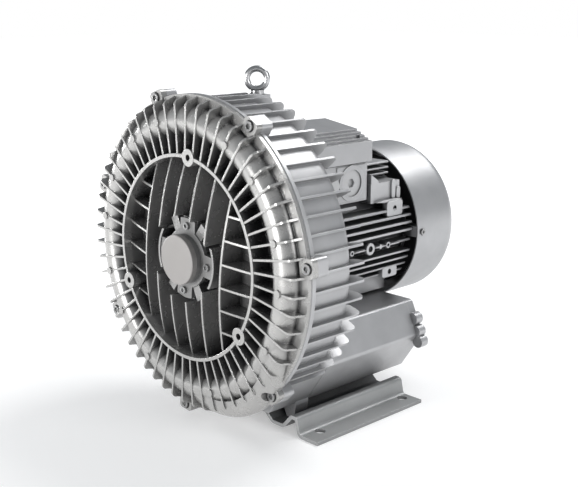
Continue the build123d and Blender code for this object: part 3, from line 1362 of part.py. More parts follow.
step_x = (LID_HALF - LID_STEP_X) / LID_STEP_COUNT
step_h = (LID_STEP_TOP - LID_SIDE_TOP) / LID_STEP_COUNT
lid_half = [(LID_HALF, LID_FOOT)]
for step in range(LID_STEP_COUNT):
    lid_half.append((LID_HALF - step * step_x, LID_SIDE_TOP + step * step_h))
    lid_half.append((LID_HALF - (step + 1) * step_x, LID_SIDE_TOP + step * step_h))
lid_half.append((LID_STEP_X, LID_STEP_TOP))
with BuildPart() as terminal_box_lid:
    with BuildSketch(across(BOX_BACK_D + LID_OVERHANG)):
        with BuildLine():
            Polyline(*lid_half, (0, LID_RIDGE), *[(-x, h) for x, h in reversed(lid_half)], close=True)
        make_face()
    extrude(amount=BOX_BACK_D - BOX_FRONT_D + 2 * LID_OVERHANG)
    with BuildSketch(across(BOX_BACK_D - BOX_WALL)):
        with BuildLine():
            roof = [
                (BOX_HALF - BOX_WALL, LID_FOOT),
                (BOX_HALF - BOX_WALL, LID_SIDE_TOP - LID_WALL),
                (LID_STEP_X, LID_STEP_TOP - 2 * LID_WALL),
            ]
            Polyline(*roof, (0, LID_RIDGE - LID_WALL), *[(-x, h) for x, h in reversed(roof)], close=True)
        make_face()
    extrude(amount=BOX_BACK_D - BOX_FRONT_D - 2 * BOX_WALL, mode=Mode.SUBTRACT)
    with BuildSketch(level_plane(SHAFT_H + LID_FOOT)):
        with Locations(*pillars):
            Circle(BOX_PILLAR_R)
    extrude(amount=LID_SIDE_TOP - LID_FOOT)
    with BuildSketch(level_plane(SHAFT_H + LID_FOOT)):
        with Locations(*pillars):
            Circle(BOX_SCREW_R + BOLT_CLEARANCE)
    extrude(amount=LID_RIDGE - LID_FOOT, mode=Mode.SUBTRACT)
    with BuildSketch(level_plane(SHAFT_H + LID_SIDE_TOP)):
        with Locations(*pillars):
            Circle(BOX_SCREW_R * CAP_HEAD + SPOT_GAP)
    extrude(amount=LID_RIDGE - LID_SIDE_TOP, mode=Mode.SUBTRACT)
save(terminal_box_lid.part, "terminal_box_lid")
save(
    fasteners(
        level_plane(SHAFT_H + LID_SIDE_TOP),
        pillars,
        BOX_SCREW_R - SEAT_GAP,
        LID_SIDE_TOP - BOX_RIM + BOX_SCREW_DEPTH - THREAD_RUNOUT,
        BOX_SCREW_R * CAP_HEAD,
        BOX_SCREW_R * CAP_HEAD_H,
    ),
    "lid_screws",
)

with BuildPart() as terminal_block:
    with BuildSketch(level_plane(SHAFT_H + BOX_FLOOR_H)):
        with Locations((0, BOX_MID_D)):
            RectangleRounded(TERMINAL_LENGTH, TERMINAL_WIDTH, BOX_GASKET_T)
    extrude(amount=TERMINAL_H)
    with BuildSketch(level_plane(SHAFT_H + BOX_FLOOR_H + TERMINAL_H)):
        with Locations((0, BOX_MID_D)):
            with GridLocations(TERMINAL_LENGTH / 3, TERMINAL_WIDTH / 2, 3, 2):
                Circle(TERMINAL_STUD_R)
    extrude(amount=TERMINAL_STUD_H)
save(terminal_block.part, "terminal_block")

with BuildPart() as cable_entry_plug:
    with BuildSketch(side_plane(BOX_HALF + ENTRY_BOSS_T - ENTRY_SET_BACK)):
        with Locations((ENTRY_D, ENTRY_H)):
            Circle(ENTRY_R - SEAT_GAP)
    extrude(amount=-PLUG_DEPTH)
    with BuildSketch(side_plane(BOX_HALF + ENTRY_BOSS_T - ENTRY_SET_BACK)):
        with Locations((ENTRY_D, ENTRY_H)):
            RegularPolygon(PLUG_HEX_R, 6)
    extrude(amount=-PLUG_HEX_DEPTH, mode=Mode.SUBTRACT)
save(cable_entry_plug.part, "cable_entry_plug")

with BuildPart() as small_entry_plug:
    with BuildSketch(side_plane(BOX_HALF + ENTRY_BOSS_T)):
        with Locations((SMALL_ENTRY_D, ENTRY_H)):
            Circle(SMALL_BOSS_R - PLUG_LIP / 2)
    extrude(amount=PLUG_T)
    with BuildSketch(side_plane(BOX_HALF + ENTRY_BOSS_T)):
        with Locations((SMALL_ENTRY_D, ENTRY_H)):
            Circle(SMALL_ENTRY_R - SEAT_GAP)
    extrude(amount=-PLUG_DEPTH)
save(small_entry_plug.part, "small_entry_plug")

# Rotor: the shaft with everything that turns on it
with BuildPart() as shaft:
    with BuildSketch(section_plane()):
        with BuildLine():
            rotor_back = REAR_BEARING_D - SHOULDER_GAP
            Polyline(
                (0, FRONT_BEARING_D + 1),
                (FRONT_BEARING[0] - RUNNING_GAP, FRONT_BEARING_D + 1),
                (FRONT_BEARING[0] - RUNNING_GAP, FRONT_SEAL_D - SHOULDER_GAP),
                (SEAL_SHAFT_R, FRONT_SEAL_D - SHOULDER_GAP),
                (SEAL_SHAFT_R, IMPELLER_HUB_FRONT_D),
                (IMPELLER_BORE_R, IMPELLER_HUB_FRONT_D),
                (IMPELLER_BORE_R, IMPELLER_BACK_D),
                (REAR_SEAL_SHAFT_R, IMPELLER_BACK_D),
                (REAR_SEAL_SHAFT_R, DRIVE_BEARING_D - SHOULDER_GAP),
                (DRIVE_BEARING[0] - RUNNING_GAP, DRIVE_BEARING_D - SHOULDER_GAP),
                (DRIVE_BEARING[0] - RUNNING_GAP, DRIVE_BEARING_BACK_D + SHOULDER_GAP),
                (ROTOR_SHAFT_R, DRIVE_BEARING_BACK_D + SHOULDER_GAP),
                (ROTOR_SHAFT_R, STACK_FRONT_D - ROTOR_COLLAR_T),
                (ROTOR_COLLAR_R, STACK_FRONT_D - ROTOR_COLLAR_T),
                (ROTOR_COLLAR_R, STACK_FRONT_D),
                (ROTOR_SHAFT_R, STACK_FRONT_D),
                (ROTOR_SHAFT_R, rotor_back),
                (REAR_BEARING[0] - RUNNING_GAP, rotor_back),
                (REAR_BEARING[0] - RUNNING_GAP, SPRING_D + SPRING_T),
                (FAN_SHOULDER_R, SPRING_D + SPRING_T),
                (FAN_SHOULDER_R, FAN_FRONT_D),
                (FAN_SHAFT_R, FAN_FRONT_D),
                (FAN_SHAFT_R, FAN_HUB_BACK_D),
                (FAN_SHAFT_R - CIRCLIP_T, FAN_HUB_BACK_D),
                (FAN_SHAFT_R - CIRCLIP_T, FAN_HUB_BACK_D + CIRCLIP_T),
                (FAN_SHAFT_R, FAN_HUB_BACK_D + CIRCLIP_T),
                (FAN_SHAFT_R, SHAFT_BACK_D),
                (0, SHAFT_BACK_D),
                close=True,
            )
        make_face()
    revolve(axis=SHAFT_AXIS)
    with BuildSketch(across(KEY_BACK_D)):
        with Locations((0, IMPELLER_BORE_R)):
            Rectangle(KEY_WIDTH, KEY_HEIGHT)
    extrude(amount=KEY_LENGTH, mode=Mode.SUBTRACT)
save(shaft.part, "shaft")

with BuildPart() as impeller_key:
    with BuildSketch(across(KEY_BACK_D)):
        with Locations((0, IMPELLER_BORE_R)):
            Rectangle(KEY_WIDTH, KEY_HEIGHT)
    extrude(amount=KEY_LENGTH)
save(impeller_key.part, "impeller_key")

with BuildPart() as impeller:
    with BuildSketch(section_plane()):
        with BuildLine():
            disc_front = IMPELLER_MID_D - IMPELLER_DISC_T / 2
            disc_back = IMPELLER_MID_D + IMPELLER_DISC_T / 2
            web_front = IMPELLER_MID_D - BLADE_WEB / 2
            web_back = IMPELLER_MID_D + BLADE_WEB / 2
            rim_r = BLADE_ROOT_R - IMPELLER_RIM_T
            Polyline(
                (IMPELLER_BORE_R + SEAT_GAP, IMPELLER_HUB_FRONT_D),
                (IMPELLER_HUB_R, IMPELLER_HUB_FRONT_D),
                (IMPELLER_HUB_R, disc_front),
                (rim_r, disc_front),
                (rim_r, IMPELLER_FRONT_D),
                (BLADE_ROOT_R, IMPELLER_FRONT_D),
                (BLADE_ROOT_R, web_front),
                (IMPELLER_R, web_front),
                (IMPELLER_R, web_back),
                (BLADE_ROOT_R, web_back),
                (BLADE_ROOT_R, IMPELLER_BACK_D),
                (rim_r, IMPELLER_BACK_D),
                (rim_r, disc_back),
                (IMPELLER_HUB_R, disc_back),
                (IMPELLER_HUB_R, IMPELLER_BACK_D),
                (IMPELLER_BORE_R + SEAT_GAP, IMPELLER_BACK_D),
                close=True,
            )
        make_face()
    revolve(axis=SHAFT_AXIS)
    with BuildSketch(across(IMPELLER_BACK_D)):
        with PolarLocations((BLADE_ROOT_R + IMPELLER_R) / 2, BLADE_COUNT):
            Rectangle(IMPELLER_R - BLADE_ROOT_R + 1, BLADE_T)
        Circle(IMPELLER_R, mode=Mode.INTERSECT)
    extrude(amount=IMPELLER_WIDTH)
    with BuildSketch(across(IMPELLER_BACK_D)):
        with Locations((0, IMPELLER_BORE_R)):
            Rectangle(KEY_WIDTH, KEY_HEIGHT)
    extrude(amount=IMPELLER_WIDTH, mode=Mode.SUBTRACT)
save(impeller.part, "impeller")

with BuildPart() as impeller_nut:
    with BuildSketch(across(IMPELLER_HUB_FRONT_D)):
        RegularPolygon(NUT_R, 6)
        Circle(SEAL_SHAFT_R + SEAT_GAP, mode=Mode.SUBTRACT)
    extrude(amount=NUT_T)
save(impeller_nut.part, "impeller_nut")

with BuildPart() as rotor_core:
    with BuildSketch(section_plane()):
        with BuildLine():
            core_r = STATOR_BORE_R - AIR_GAP
            cage_r = core_r - AIR_GAP * 4
            Polyline(
                (ROTOR_SHAFT_R + SEAT_GAP, STACK_FRONT_D),
                (cage_r - END_RING_WIDTH, STACK_FRONT_D),
                (cage_r - END_RING_WIDTH, STACK_FRONT_D - END_RING_T),
                (cage_r, STACK_FRONT_D - END_RING_T),
                (cage_r, STACK_FRONT_D),
                (core_r, STACK_FRONT_D),
                (core_r, STACK_BACK_D),
                (cage_r, STACK_BACK_D),
                (cage_r, STACK_BACK_D + END_RING_T),
                (cage_r - END_RING_WIDTH, STACK_BACK_D + END_RING_T),
                (cage_r - END_RING_WIDTH, STACK_BACK_D),
                (ROTOR_SHAFT_R + SEAT_GAP, STACK_BACK_D),
                close=True,
            )
        make_face()
    revolve(axis=SHAFT_AXIS)
save(rotor_core.part, "rotor_core")

with BuildPart() as fan:
    with BuildSketch(across(FAN_FRONT_D + FAN_DISC_T)):
        Circle(FAN_R)
    extrude(amount=FAN_DISC_T)
    with BuildSketch(across(FAN_BACK_D)):
        with PolarLocations((FAN_HUB_R * 2 + FAN_R) / 2, FAN_BLADES):
            Rectangle(FAN_R - FAN_HUB_R * 2 - FAN_BLADE_T, FAN_BLADE_T)
    extrude(amount=FAN_BACK_D - FAN_FRONT_D)
    with BuildSketch(across(FAN_HUB_BACK_D)):
        Circle(FAN_HUB_R)
    extrude(amount=FAN_HUB_BACK_D - FAN_FRONT_D)
    with BuildSketch(across(FAN_HUB_BACK_D)):
        Circle(FAN_SHAFT_R + SEAT_GAP)
    extrude(amount=FAN_HUB_BACK_D - FAN_FRONT_D, mode=Mode.SUBTRACT)
save(fan.part, "fan")
save(
    ring(FAN_SHAFT_R - CIRCLIP_T + SEAT_GAP, CIRCLIP_R, FAN_HUB_BACK_D, FAN_HUB_BACK_D + CIRCLIP_T),
    "fan_circlip",
)
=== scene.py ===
import json
import math

import bpy
import numpy as np
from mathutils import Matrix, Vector


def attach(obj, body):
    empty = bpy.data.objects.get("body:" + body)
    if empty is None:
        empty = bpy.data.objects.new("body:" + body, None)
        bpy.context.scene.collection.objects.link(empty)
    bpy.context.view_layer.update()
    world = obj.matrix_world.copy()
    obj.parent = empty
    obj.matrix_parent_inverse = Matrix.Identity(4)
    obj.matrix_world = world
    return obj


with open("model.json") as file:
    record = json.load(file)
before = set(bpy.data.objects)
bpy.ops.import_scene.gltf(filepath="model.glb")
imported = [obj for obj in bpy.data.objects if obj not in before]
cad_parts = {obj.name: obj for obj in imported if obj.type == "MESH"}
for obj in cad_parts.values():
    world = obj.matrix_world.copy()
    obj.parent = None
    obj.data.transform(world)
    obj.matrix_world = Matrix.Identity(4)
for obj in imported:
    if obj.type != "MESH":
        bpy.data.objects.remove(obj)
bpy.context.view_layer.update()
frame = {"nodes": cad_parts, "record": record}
NODES = frame["nodes"]

# Where shade is painted: the recess, the gaps between the motor's fins, and the cover's valleys and flank.
# Places of the machine in metres. Depths run back from the cover's front ring, heights up from the shaft.
# A fade is the pair of places where its mask is 0 and where it is 1.
SHAFT_H = 0.240
FRONT_Y = -0.200
RECESS_R = 0.1355  # inside of the front ring
RING_WALL = 0.004
DOME_APEX = -0.0088  # the recess ribs' fronts lie on a shallow sphere, taken here as a paraboloid
DOME_R = 0.4758
DOME_FADE = (0.0002, 0.004)
HUB_FADE = (0.046, 0.062)
HUB_SHARE = 0.75  # what is left of the recess mask at the hub
FRAME_FIN_R = 0.107  # tips of the motor's fins
GAP_FADE = (FRAME_FIN_R - 0.0012, FRAME_FIN_R - 0.005)
GAP_MIDDLE_H = -0.009  # the middle of the fins on the motor's sides
GAP_LEVEL_FADE = (0.066, 0.060)
COVER_DEPTH = 0.040
VALLEY_DEPTH_FADE = (0.0025, 0.014)
VALLEY_R_FADE = (0.176, 0.155)
FLANK_DEPTH_FADE = (0.012, 0.022)
FLANK_INNER_FADE = (0.177, 0.189)
FLANK_OUTER_FADE = (0.2065, 0.2035)

# The photograph's view
CAMERA_PLACE = (1.04483, -1.00361, 0.57873)
CAMERA_AZIMUTH = 46.31
CAMERA_ELEVATION = 13.64
CAMERA_LENS = 63.5
SENSOR_WIDTH = 36.0


def set_camera():
    """A camera at the photograph's place, looking along its azimuth and elevation."""
    data = bpy.data.cameras.new("view")
    data.lens = CAMERA_LENS
    data.sensor_width = SENSOR_WIDTH
    data.sensor_fit = "HORIZONTAL"
    data.clip_start = 0.05
    data.clip_end = 30.0
    camera = bpy.data.objects.new("view", data)
    bpy.context.scene.collection.objects.link(camera)
    azimuth, elevation = math.radians(CAMERA_AZIMUTH), math.radians(CAMERA_ELEVATION)
    level = math.cos(elevation)
    forward = Vector((-math.sin(azimuth) * level, math.cos(azimuth) * level, -math.sin(elevation)))
    camera.location = CAMERA_PLACE
    camera.rotation_mode = "QUATERNION"
    camera.rotation_quaternion = forward.to_track_quat("-Z", "Y")
    bpy.context.scene.camera = camera


# Shader groups shared by the finishes


def new_group(name, inputs, outputs):
    """An empty shader group with named numbers in and out; returns it with its two end nodes."""
    group = bpy.data.node_groups.new(name, "ShaderNodeTree")
    for label, default in inputs:
        socket = group.interface.new_socket(label, in_out="INPUT", socket_type="NodeSocketFloat")
        socket.default_value = default
    for label in outputs:
        group.interface.new_socket(label, in_out="OUTPUT", socket_type="NodeSocketFloat")
    return group, group.nodes.new("NodeGroupInput"), group.nodes.new("NodeGroupOutput")


def math_node(tree, operation, first, second=None, clamp=False):
    """A math node fed by sockets or numbers; returns its output."""
    node = tree.nodes.new("ShaderNodeMath")
    node.operation = operation
    node.use_clamp = clamp
    for slot, value in zip(node.inputs, (first, second)):
        if value is None:
            continue
        if isinstance(value, (int, float)):
            slot.default_value = value
        else:
            tree.links.new(value, slot)
    return node.outputs[0]


def noise_node(tree, scale, detail):
    """Noise on object coordinates; scale is in features per metre, a number or a socket."""
    place = tree.nodes.new("ShaderNodeTexCoord")
    noise = tree.nodes.new("ShaderNodeTexNoise")
    noise.inputs["Detail"].default_value = detail
    if isinstance(scale, (int, float)):
        noise.inputs["Scale"].default_value = scale
    else:
        tree.links.new(scale, noise.inputs["Scale"])
    tree.links.new(place.outputs["Object"], noise.inputs["Vector"])
    return noise.outputs["Fac"]


def ramp(tree, value, low, high):
    """Stretch a value so that low becomes 0 and high becomes 1, clamped; low may be above high."""
    node = tree.nodes.new("ShaderNodeMapRange")
    node.inputs["From Min"].default_value = low
    node.inputs["From Max"].default_value = high
    tree.links.new(value, node.inputs["Value"])
    return node.outputs["Result"]


CORNER_GAIN = 6.0
CORNER_FLOOR = 0.25  # lightening of corners, part wear and part painted highlight, that the noise leaves everywhere


def build_edge_group():
    """Mask that is 1 on convex corners, for lightening that is part wear and part painted highlight: how far
    the rounded normal leans from the flat one, broken up.
    """
    inputs = [("Radius", 0.001), ("Amount", 1.0), ("Breakup", 300.0)]
    group, ends_in, ends_out = new_group("corner wear and highlight", inputs, ["Mask"])
    rounded = group.nodes.new("ShaderNodeBevel")
    rounded.samples = 4
    group.links.new(ends_in.outputs["Radius"], rounded.inputs["Radius"])
    flat = group.nodes.new("ShaderNodeNewGeometry")
    lean = group.nodes.new("ShaderNodeVectorMath")
    lean.operation = "DOT_PRODUCT"
    group.links.new(rounded.outputs["Normal"], lean.inputs[0])
    group.links.new(flat.outputs["Normal"], lean.inputs[1])
    bend = math_node(group, "SUBTRACT", 1.0, lean.outputs["Value"])
    strong = math_node(group, "MULTIPLY", bend, CORNER_GAIN)
    patchy = math_node(group, "ADD", noise_node(group, ends_in.outputs["Breakup"], 3.0), CORNER_FLOOR)
    mask = math_node(group, "MULTIPLY", strong, patchy)
    scaled = math_node(group, "MULTIPLY", mask, ends_in.outputs["Amount"], clamp=True)
    group.links.new(scaled, ends_out.inputs["Mask"])
    return group


def build_hollow_group():
    """Mask for painted shade, 1 deep in hollows, from how much of the sky a point sees within a distance."""
    inputs = [("Distance", 0.03), ("Amount", 1.0), ("Contrast", 1.5)]
    group, ends_in, ends_out = new_group("hollow shade", inputs, ["Mask"])
    seen = group.nodes.new("ShaderNodeAmbientOcclusion")
    seen.samples = 6
    group.links.new(ends_in.outputs["Distance"], seen.inputs["Distance"])
    hidden = math_node(group, "SUBTRACT", 1.0, seen.outputs["AO"])
    curve = math_node(group, "POWER", hidden, ends_in.outputs["Contrast"])
    scaled = math_node(group, "MULTIPLY", curve, ends_in.outputs["Amount"], clamp=True)
    group.links.new(scaled, ends_out.inputs["Mask"])
    return group


def build_skin_group():
    """Height of a sprayed skin: fine orange peel with a slow wave under it."""
    group, ends_in, ends_out = new_group("sprayed skin", [("Grain", 900.0), ("Wave", 60.0)], ["Height"])
    fine = noise_node(group, ends_in.outputs["Grain"], 2.0)
    slow = noise_node(group, ends_in.outputs["Wave"], 1.0)
    total = math_node(group, "ADD", fine, math_node(group, "MULTIPLY", slow, 2.0))
    group.links.new(total, ends_out.inputs["Height"])
    return group


def build_place_group():
    """Masks for painted shade from a point's place, each fading over some millimetres: Recess is 1 behind the
    domed front of the recess ribs, Gaps 1 between the motor's fins, Valley 1 low between the cover's fins
    inside the torus, and Flank 1 low outside it."""
    group, ends_in, ends_out = new_group("places", [], ["Recess", "Gaps", "Valley", "Flank"])
    place = group.nodes.new("ShaderNodeTexCoord")
    axes = group.nodes.new("ShaderNodeSeparateXYZ")
    group.links.new(place.outputs["Object"], axes.inputs[0])
    depth = math_node(group, "SUBTRACT", axes.outputs["Y"], FRONT_Y)
    height = math_node(group, "SUBTRACT", axes.outputs["Z"], SHAFT_H)
    across = axes.outputs["X"]
    across_square = math_node(group, "MULTIPLY", across, across)
    square = math_node(group, "ADD", across_square, math_node(group, "MULTIPLY", height, height))
    radius = math_node(group, "SQRT", square)
    dome = math_node(group, "ADD", math_node(group, "DIVIDE", square, 2 * DOME_R), DOME_APEX)
    behind = ramp(group, math_node(group, "SUBTRACT", depth, dome), *DOME_FADE)
    inside = math_node(group, "LESS_THAN", radius, RECESS_R)
    clear = math_node(group, "MAXIMUM", ramp(group, radius, *HUB_FADE), HUB_SHARE)
    off_middle = math_node(group, "ABSOLUTE", math_node(group, "SUBTRACT", height, GAP_MIDDLE_H))
    outside = math_node(group, "GREATER_THAN", radius, RECESS_R + RING_WALL)
    forward = math_node(group, "LESS_THAN", depth, COVER_DEPTH)
    factors = {
        "Recess": (behind, inside, clear),
        "Gaps": (ramp(group, radius, *GAP_FADE), ramp(group, off_middle, *GAP_LEVEL_FADE)),
        "Valley": (ramp(group, depth, *VALLEY_DEPTH_FADE), ramp(group, radius, *VALLEY_R_FADE),
                   outside, forward),
        "Flank": (ramp(group, depth, *FLANK_DEPTH_FADE), ramp(group, radius, *FLANK_INNER_FADE),
                  ramp(group, radius, *FLANK_OUTER_FADE), forward),
    }
    for label, parts in factors.items():
        mask = parts[0]
        for factor in parts[1:]:
            mask = math_node(group, "MULTIPLY", mask, factor)
        group.links.new(mask, ends_out.inputs[label])
    return group


EDGE_GROUP = build_edge_group()
HOLLOW_GROUP = build_hollow_group()
SKIN_GROUP = build_skin_group()
PLACE_GROUP = build_place_group()


def group_node(tree, group, **values):
    """Place a shared group in a material with its own values; returns its node."""
    node = tree.nodes.new("ShaderNodeGroup")
    node.node_tree = group
    for label, value in values.items():
        node.inputs[label].default_value = value
    return node


def mix_colour(tree, mask, first, second):
    """Blend two colours, given as sockets or triples, by a mask."""
    node = tree.nodes.new("ShaderNodeMix")
    node.data_type = "RGBA"
    tree.links.new(mask, node.inputs["Factor"])
    for label, value in (("A", first), ("B", second)):
        socket = [s for s in node.inputs if s.name == label and s.type == "RGBA"][0]
        if isinstance(value, tuple):
            socket.default_value = (*value, 1.0)
        else:
            tree.links.new(value, socket)
    return [s for s in node.outputs if s.type == "RGBA"][0]


def shade_places(**shades):
    """A step of painted shade that blends each named place towards its colour, by its share of the place's
    mask.
    """
    def apply(tree, paint):
        places = group_node(tree, PLACE_GROUP)
        for label, (share, colour) in shades.items():
            mask = math_node(tree, "MULTIPLY", places.outputs[label], share)
            paint = mix_colour(tree, mask, paint, colour)
        return paint
    return apply


# Shared by every finish: patches per metre, swing of the roughness, and lengths in metres
MOTTLE_SCALE = 25.0
MOTTLE_SPAN = (0.3, 0.7)  # noise that is all darker paint and all lighter paint
GLOSS_SCALE = 75.0
GLOSS_SWING = 0.08
WEAR_AND_HIGHLIGHT_RADIUS = 0.0008
ROUND_RADIUS = 0.0006
GRAIN_DEPTH = 0.0002


def finish_material(
    name,
    colour,
    metallic=0.0,
    roughness=0.4,
    mottle=0.06,
    edge_colour=None,
    edge_amount=0.7,
    hollow_colour=None,
    hollow_distance=0.02,
    hollow_amount=0.8,
    grain=900.0,
    grain_strength=0.2,
    extra=None,
):
    """A finish with mottled colour, corners lightened by wear and painted highlight, painted shade in
    hollows, uneven gloss, a sprayed skin and rounded corners. Lengths are in metres, grain is in bumps per
    metre, and extra is one more step for the paint."""
    material = bpy.data.materials.new(name)
    material.use_nodes = True
    tree = material.node_tree
    shader = tree.nodes["Principled BSDF"]
    shader.inputs["Metallic"].default_value = metallic
    patch = ramp(tree, noise_node(tree, MOTTLE_SCALE, 4.0), *MOTTLE_SPAN)
    darker = tuple(c * (1.0 - mottle) for c in colour)
    lighter = tuple(min(1.0, c * (1.0 + mottle)) for c in colour)
    paint = mix_colour(tree, patch, darker, lighter)
    if extra:
        paint = extra(tree, paint)
    # Painted shade in hollows.
    if hollow_colour:
        hollows = group_node(tree, HOLLOW_GROUP, Distance=hollow_distance, Amount=hollow_amount)
        paint = mix_colour(tree, hollows.outputs["Mask"], paint, hollow_colour)
    # Corners lightened, part wear and part painted highlight.
    if edge_colour:
        corners = group_node(tree, EDGE_GROUP, Radius=WEAR_AND_HIGHLIGHT_RADIUS, Amount=edge_amount)
        paint = mix_colour(tree, corners.outputs["Mask"], paint, edge_colour)
    tree.links.new(paint, shader.inputs["Base Color"])
    uneven = noise_node(tree, GLOSS_SCALE, 3.0)
    gloss = tree.nodes.new("ShaderNodeMapRange")
    gloss.inputs["To Min"].default_value = roughness - GLOSS_SWING
    gloss.inputs["To Max"].default_value = roughness + GLOSS_SWING
    tree.links.new(uneven, gloss.inputs["Value"])
    tree.links.new(gloss.outputs["Result"], shader.inputs["Roughness"])
    rounded = tree.nodes.new("ShaderNodeBevel")
    rounded.samples = 4
    rounded.inputs["Radius"].default_value = ROUND_RADIUS
    bump = tree.nodes.new("ShaderNodeBump")
    bump.inputs["Strength"].default_value = grain_strength
    bump.inputs["Distance"].default_value = GRAIN_DEPTH
    skin = group_node(tree, SKIN_GROUP, Grain=grain)
    tree.links.new(skin.outputs["Height"], bump.inputs["Height"])
    tree.links.new(rounded.outputs["Normal"], bump.inputs["Normal"])
    tree.links.new(bump.outputs["Normal"], shader.inputs["Normal"])
    return material


SILVER = (0.46, 0.46, 0.468)
WARM_SILVER = (0.42, 0.415, 0.405)
# PALE and the grey below it lighten corners, part wear and part painted highlight.
PALE = (0.66, 0.66, 0.66)
WEAR_AND_HIGHLIGHT_GREY = (0.44, 0.44, 0.436)
# GLOOM and DIM are painted shade, for hollows, the gaps between fins and the recess.
GLOOM = (0.03, 0.03, 0.033)
DIM = (0.22, 0.217, 0.218)

casting = finish_material("silver casting paint", SILVER, metallic=0.55, roughness=0.38, edge_colour=PALE,
                          hollow_colour=GLOOM, hollow_distance=0.035, hollow_amount=1.0)
carrier_paint = finish_material("grey carrier paint", (0.23, 0.228, 0.225), metallic=0.45, roughness=0.42,
                                edge_colour=WEAR_AND_HIGHLIGHT_GREY, hollow_colour=GLOOM, hollow_distance=0.015)
# Painted shade darkens the recess, the valleys between the fins and the flank outside the torus.
cover_paint = finish_material("silver cover paint", WARM_SILVER, metallic=0.6, roughness=0.26,
                              edge_colour=WEAR_AND_HIGHLIGHT_GREY, edge_amount=0.6,
                              hollow_colour=GLOOM, hollow_distance=0.03, hollow_amount=1.0,
                              extra=shade_places(Recess=(0.55, DIM), Valley=(0.42, GLOOM),
                                                 Flank=(0.72, GLOOM)))
box_paint = finish_material("silver box paint", (0.38, 0.38, 0.388), metallic=0.5, roughness=0.4,
                            edge_colour=PALE, hollow_colour=GLOOM, hollow_distance=0.02)
# Painted shade darkens the gaps between the motor's fins.
frame_paint = finish_material("silver motor paint", SILVER, metallic=0.4, roughness=0.4, edge_colour=PALE,
                              edge_amount=1.0, hollow_colour=GLOOM, hollow_distance=0.03, hollow_amount=0.85,
                              extra=shade_places(Gaps=(0.7, GLOOM)))
cowl_paint = finish_material("silver cowl paint", (0.42, 0.422, 0.43), metallic=0.65, roughness=0.4,
                             edge_colour=PALE, hollow_colour=GLOOM, hollow_distance=0.02, grain_strength=0.12)
foot_paint = finish_material("grey foot paint", (0.40, 0.405, 0.405), metallic=0.45, roughness=0.4,
                             edge_colour=PALE, hollow_colour=GLOOM, hollow_distance=0.06, hollow_amount=1.0)
cap_paint = finish_material("pale cap", (0.27, 0.258, 0.25), metallic=0.1, roughness=0.5, edge_colour=PALE,
                            mottle=0.03, hollow_colour=DIM, hollow_distance=0.01)
zinc = finish_material("grey plated screws", (0.30, 0.30, 0.30), metallic=0.9, roughness=0.34,
                       edge_colour=(0.7, 0.7, 0.68), hollow_colour=(0.02, 0.02, 0.02), hollow_distance=0.005,
                       grain=2500.0)
eye_plate = finish_material("dull plated steel", (0.47, 0.47, 0.475), metallic=1.0, roughness=0.3,
                            hollow_colour=(0.05, 0.05, 0.05), hollow_distance=0.008, grain=1500.0)
bore_shade = finish_material("black bore shade", (0.03, 0.03, 0.032), metallic=0.3, roughness=0.5)
steel = finish_material("turned steel", (0.42, 0.42, 0.43), metallic=1.0, roughness=0.3, grain=3000.0)
alloy = finish_material("turned aluminium", (0.6, 0.6, 0.61), metallic=1.0, roughness=0.35, grain=2500.0)
laminations = finish_material("varnished laminations", (0.12, 0.12, 0.13), metallic=0.7, roughness=0.5)
windings = finish_material("enamelled copper", (0.42, 0.17, 0.08), metallic=0.9, roughness=0.35, grain=1500.0,
                           grain_strength=2.0)
rubber = finish_material("black rubber", (0.02, 0.02, 0.02), roughness=0.7)
black_plastic = finish_material("black moulded plastic", (0.03, 0.03, 0.032), roughness=0.5)
grey_plastic = finish_material("grey moulded plastic", (0.44, 0.44, 0.445), roughness=0.45, edge_colour=PALE,
                               hollow_colour=GLOOM, hollow_distance=0.006)
felt = finish_material("acoustic felt", (0.13, 0.12, 0.11), roughness=0.95, grain=1200.0, grain_strength=4.0)

SLOT_FINISH = {
    "casting": casting,
    "cowl": cowl_paint,
    "foot": foot_paint,
    "zinc": zinc,
    "eye": eye_plate,
    "steel": steel,
    "alloy": alloy,
    "core": laminations,
    "copper": windings,
    "rubber": rubber,
    "plastic": black_plastic,
    "plug": grey_plastic,
    "felt": felt,
}
# The end shield takes the motor paint, so the painted shade of the fin gaps darkens it behind the cowl.
NODE_FINISH = {"front_cover": cover_paint, "motor_frame": frame_paint, "end_shield": frame_paint,
               "hub_cap": cap_paint, "bearing_carrier": carrier_paint, "terminal_box": box_paint,
               "terminal_box_lid": box_paint}
for part in frame["record"]["subparts"]:
    mesh = NODES[part["node"]].data
    mesh.materials.clear()
    mesh.materials.append(NODE_FINISH.get(part["node"], SLOT_FINISH[part["material_slot"]]))


# Small castings on the motor frame, the same on both sides


def add_piece(name, points, faces, material):
    """Link a closed mesh of points in metres, with faces as lists of indices, that rides on the machine."""
    mesh = bpy.data.meshes.new(name)
    mesh.from_pydata(points.tolist(), [], faces)
    mesh.materials.append(material)
    piece = bpy.data.objects.new(name, mesh)
    bpy.context.scene.collection.objects.link(piece)
    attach(piece, "root")
    return piece


def facing(side, faces):
    """Faces of a piece made for the right side, turned over where it stands on the left."""
    return faces if side > 0 else [face[::-1] for face in faces]


PLATE_POINTS = 48
HOLE_DEPTH = 0.003
GUSSET_EDGE = 0.0007


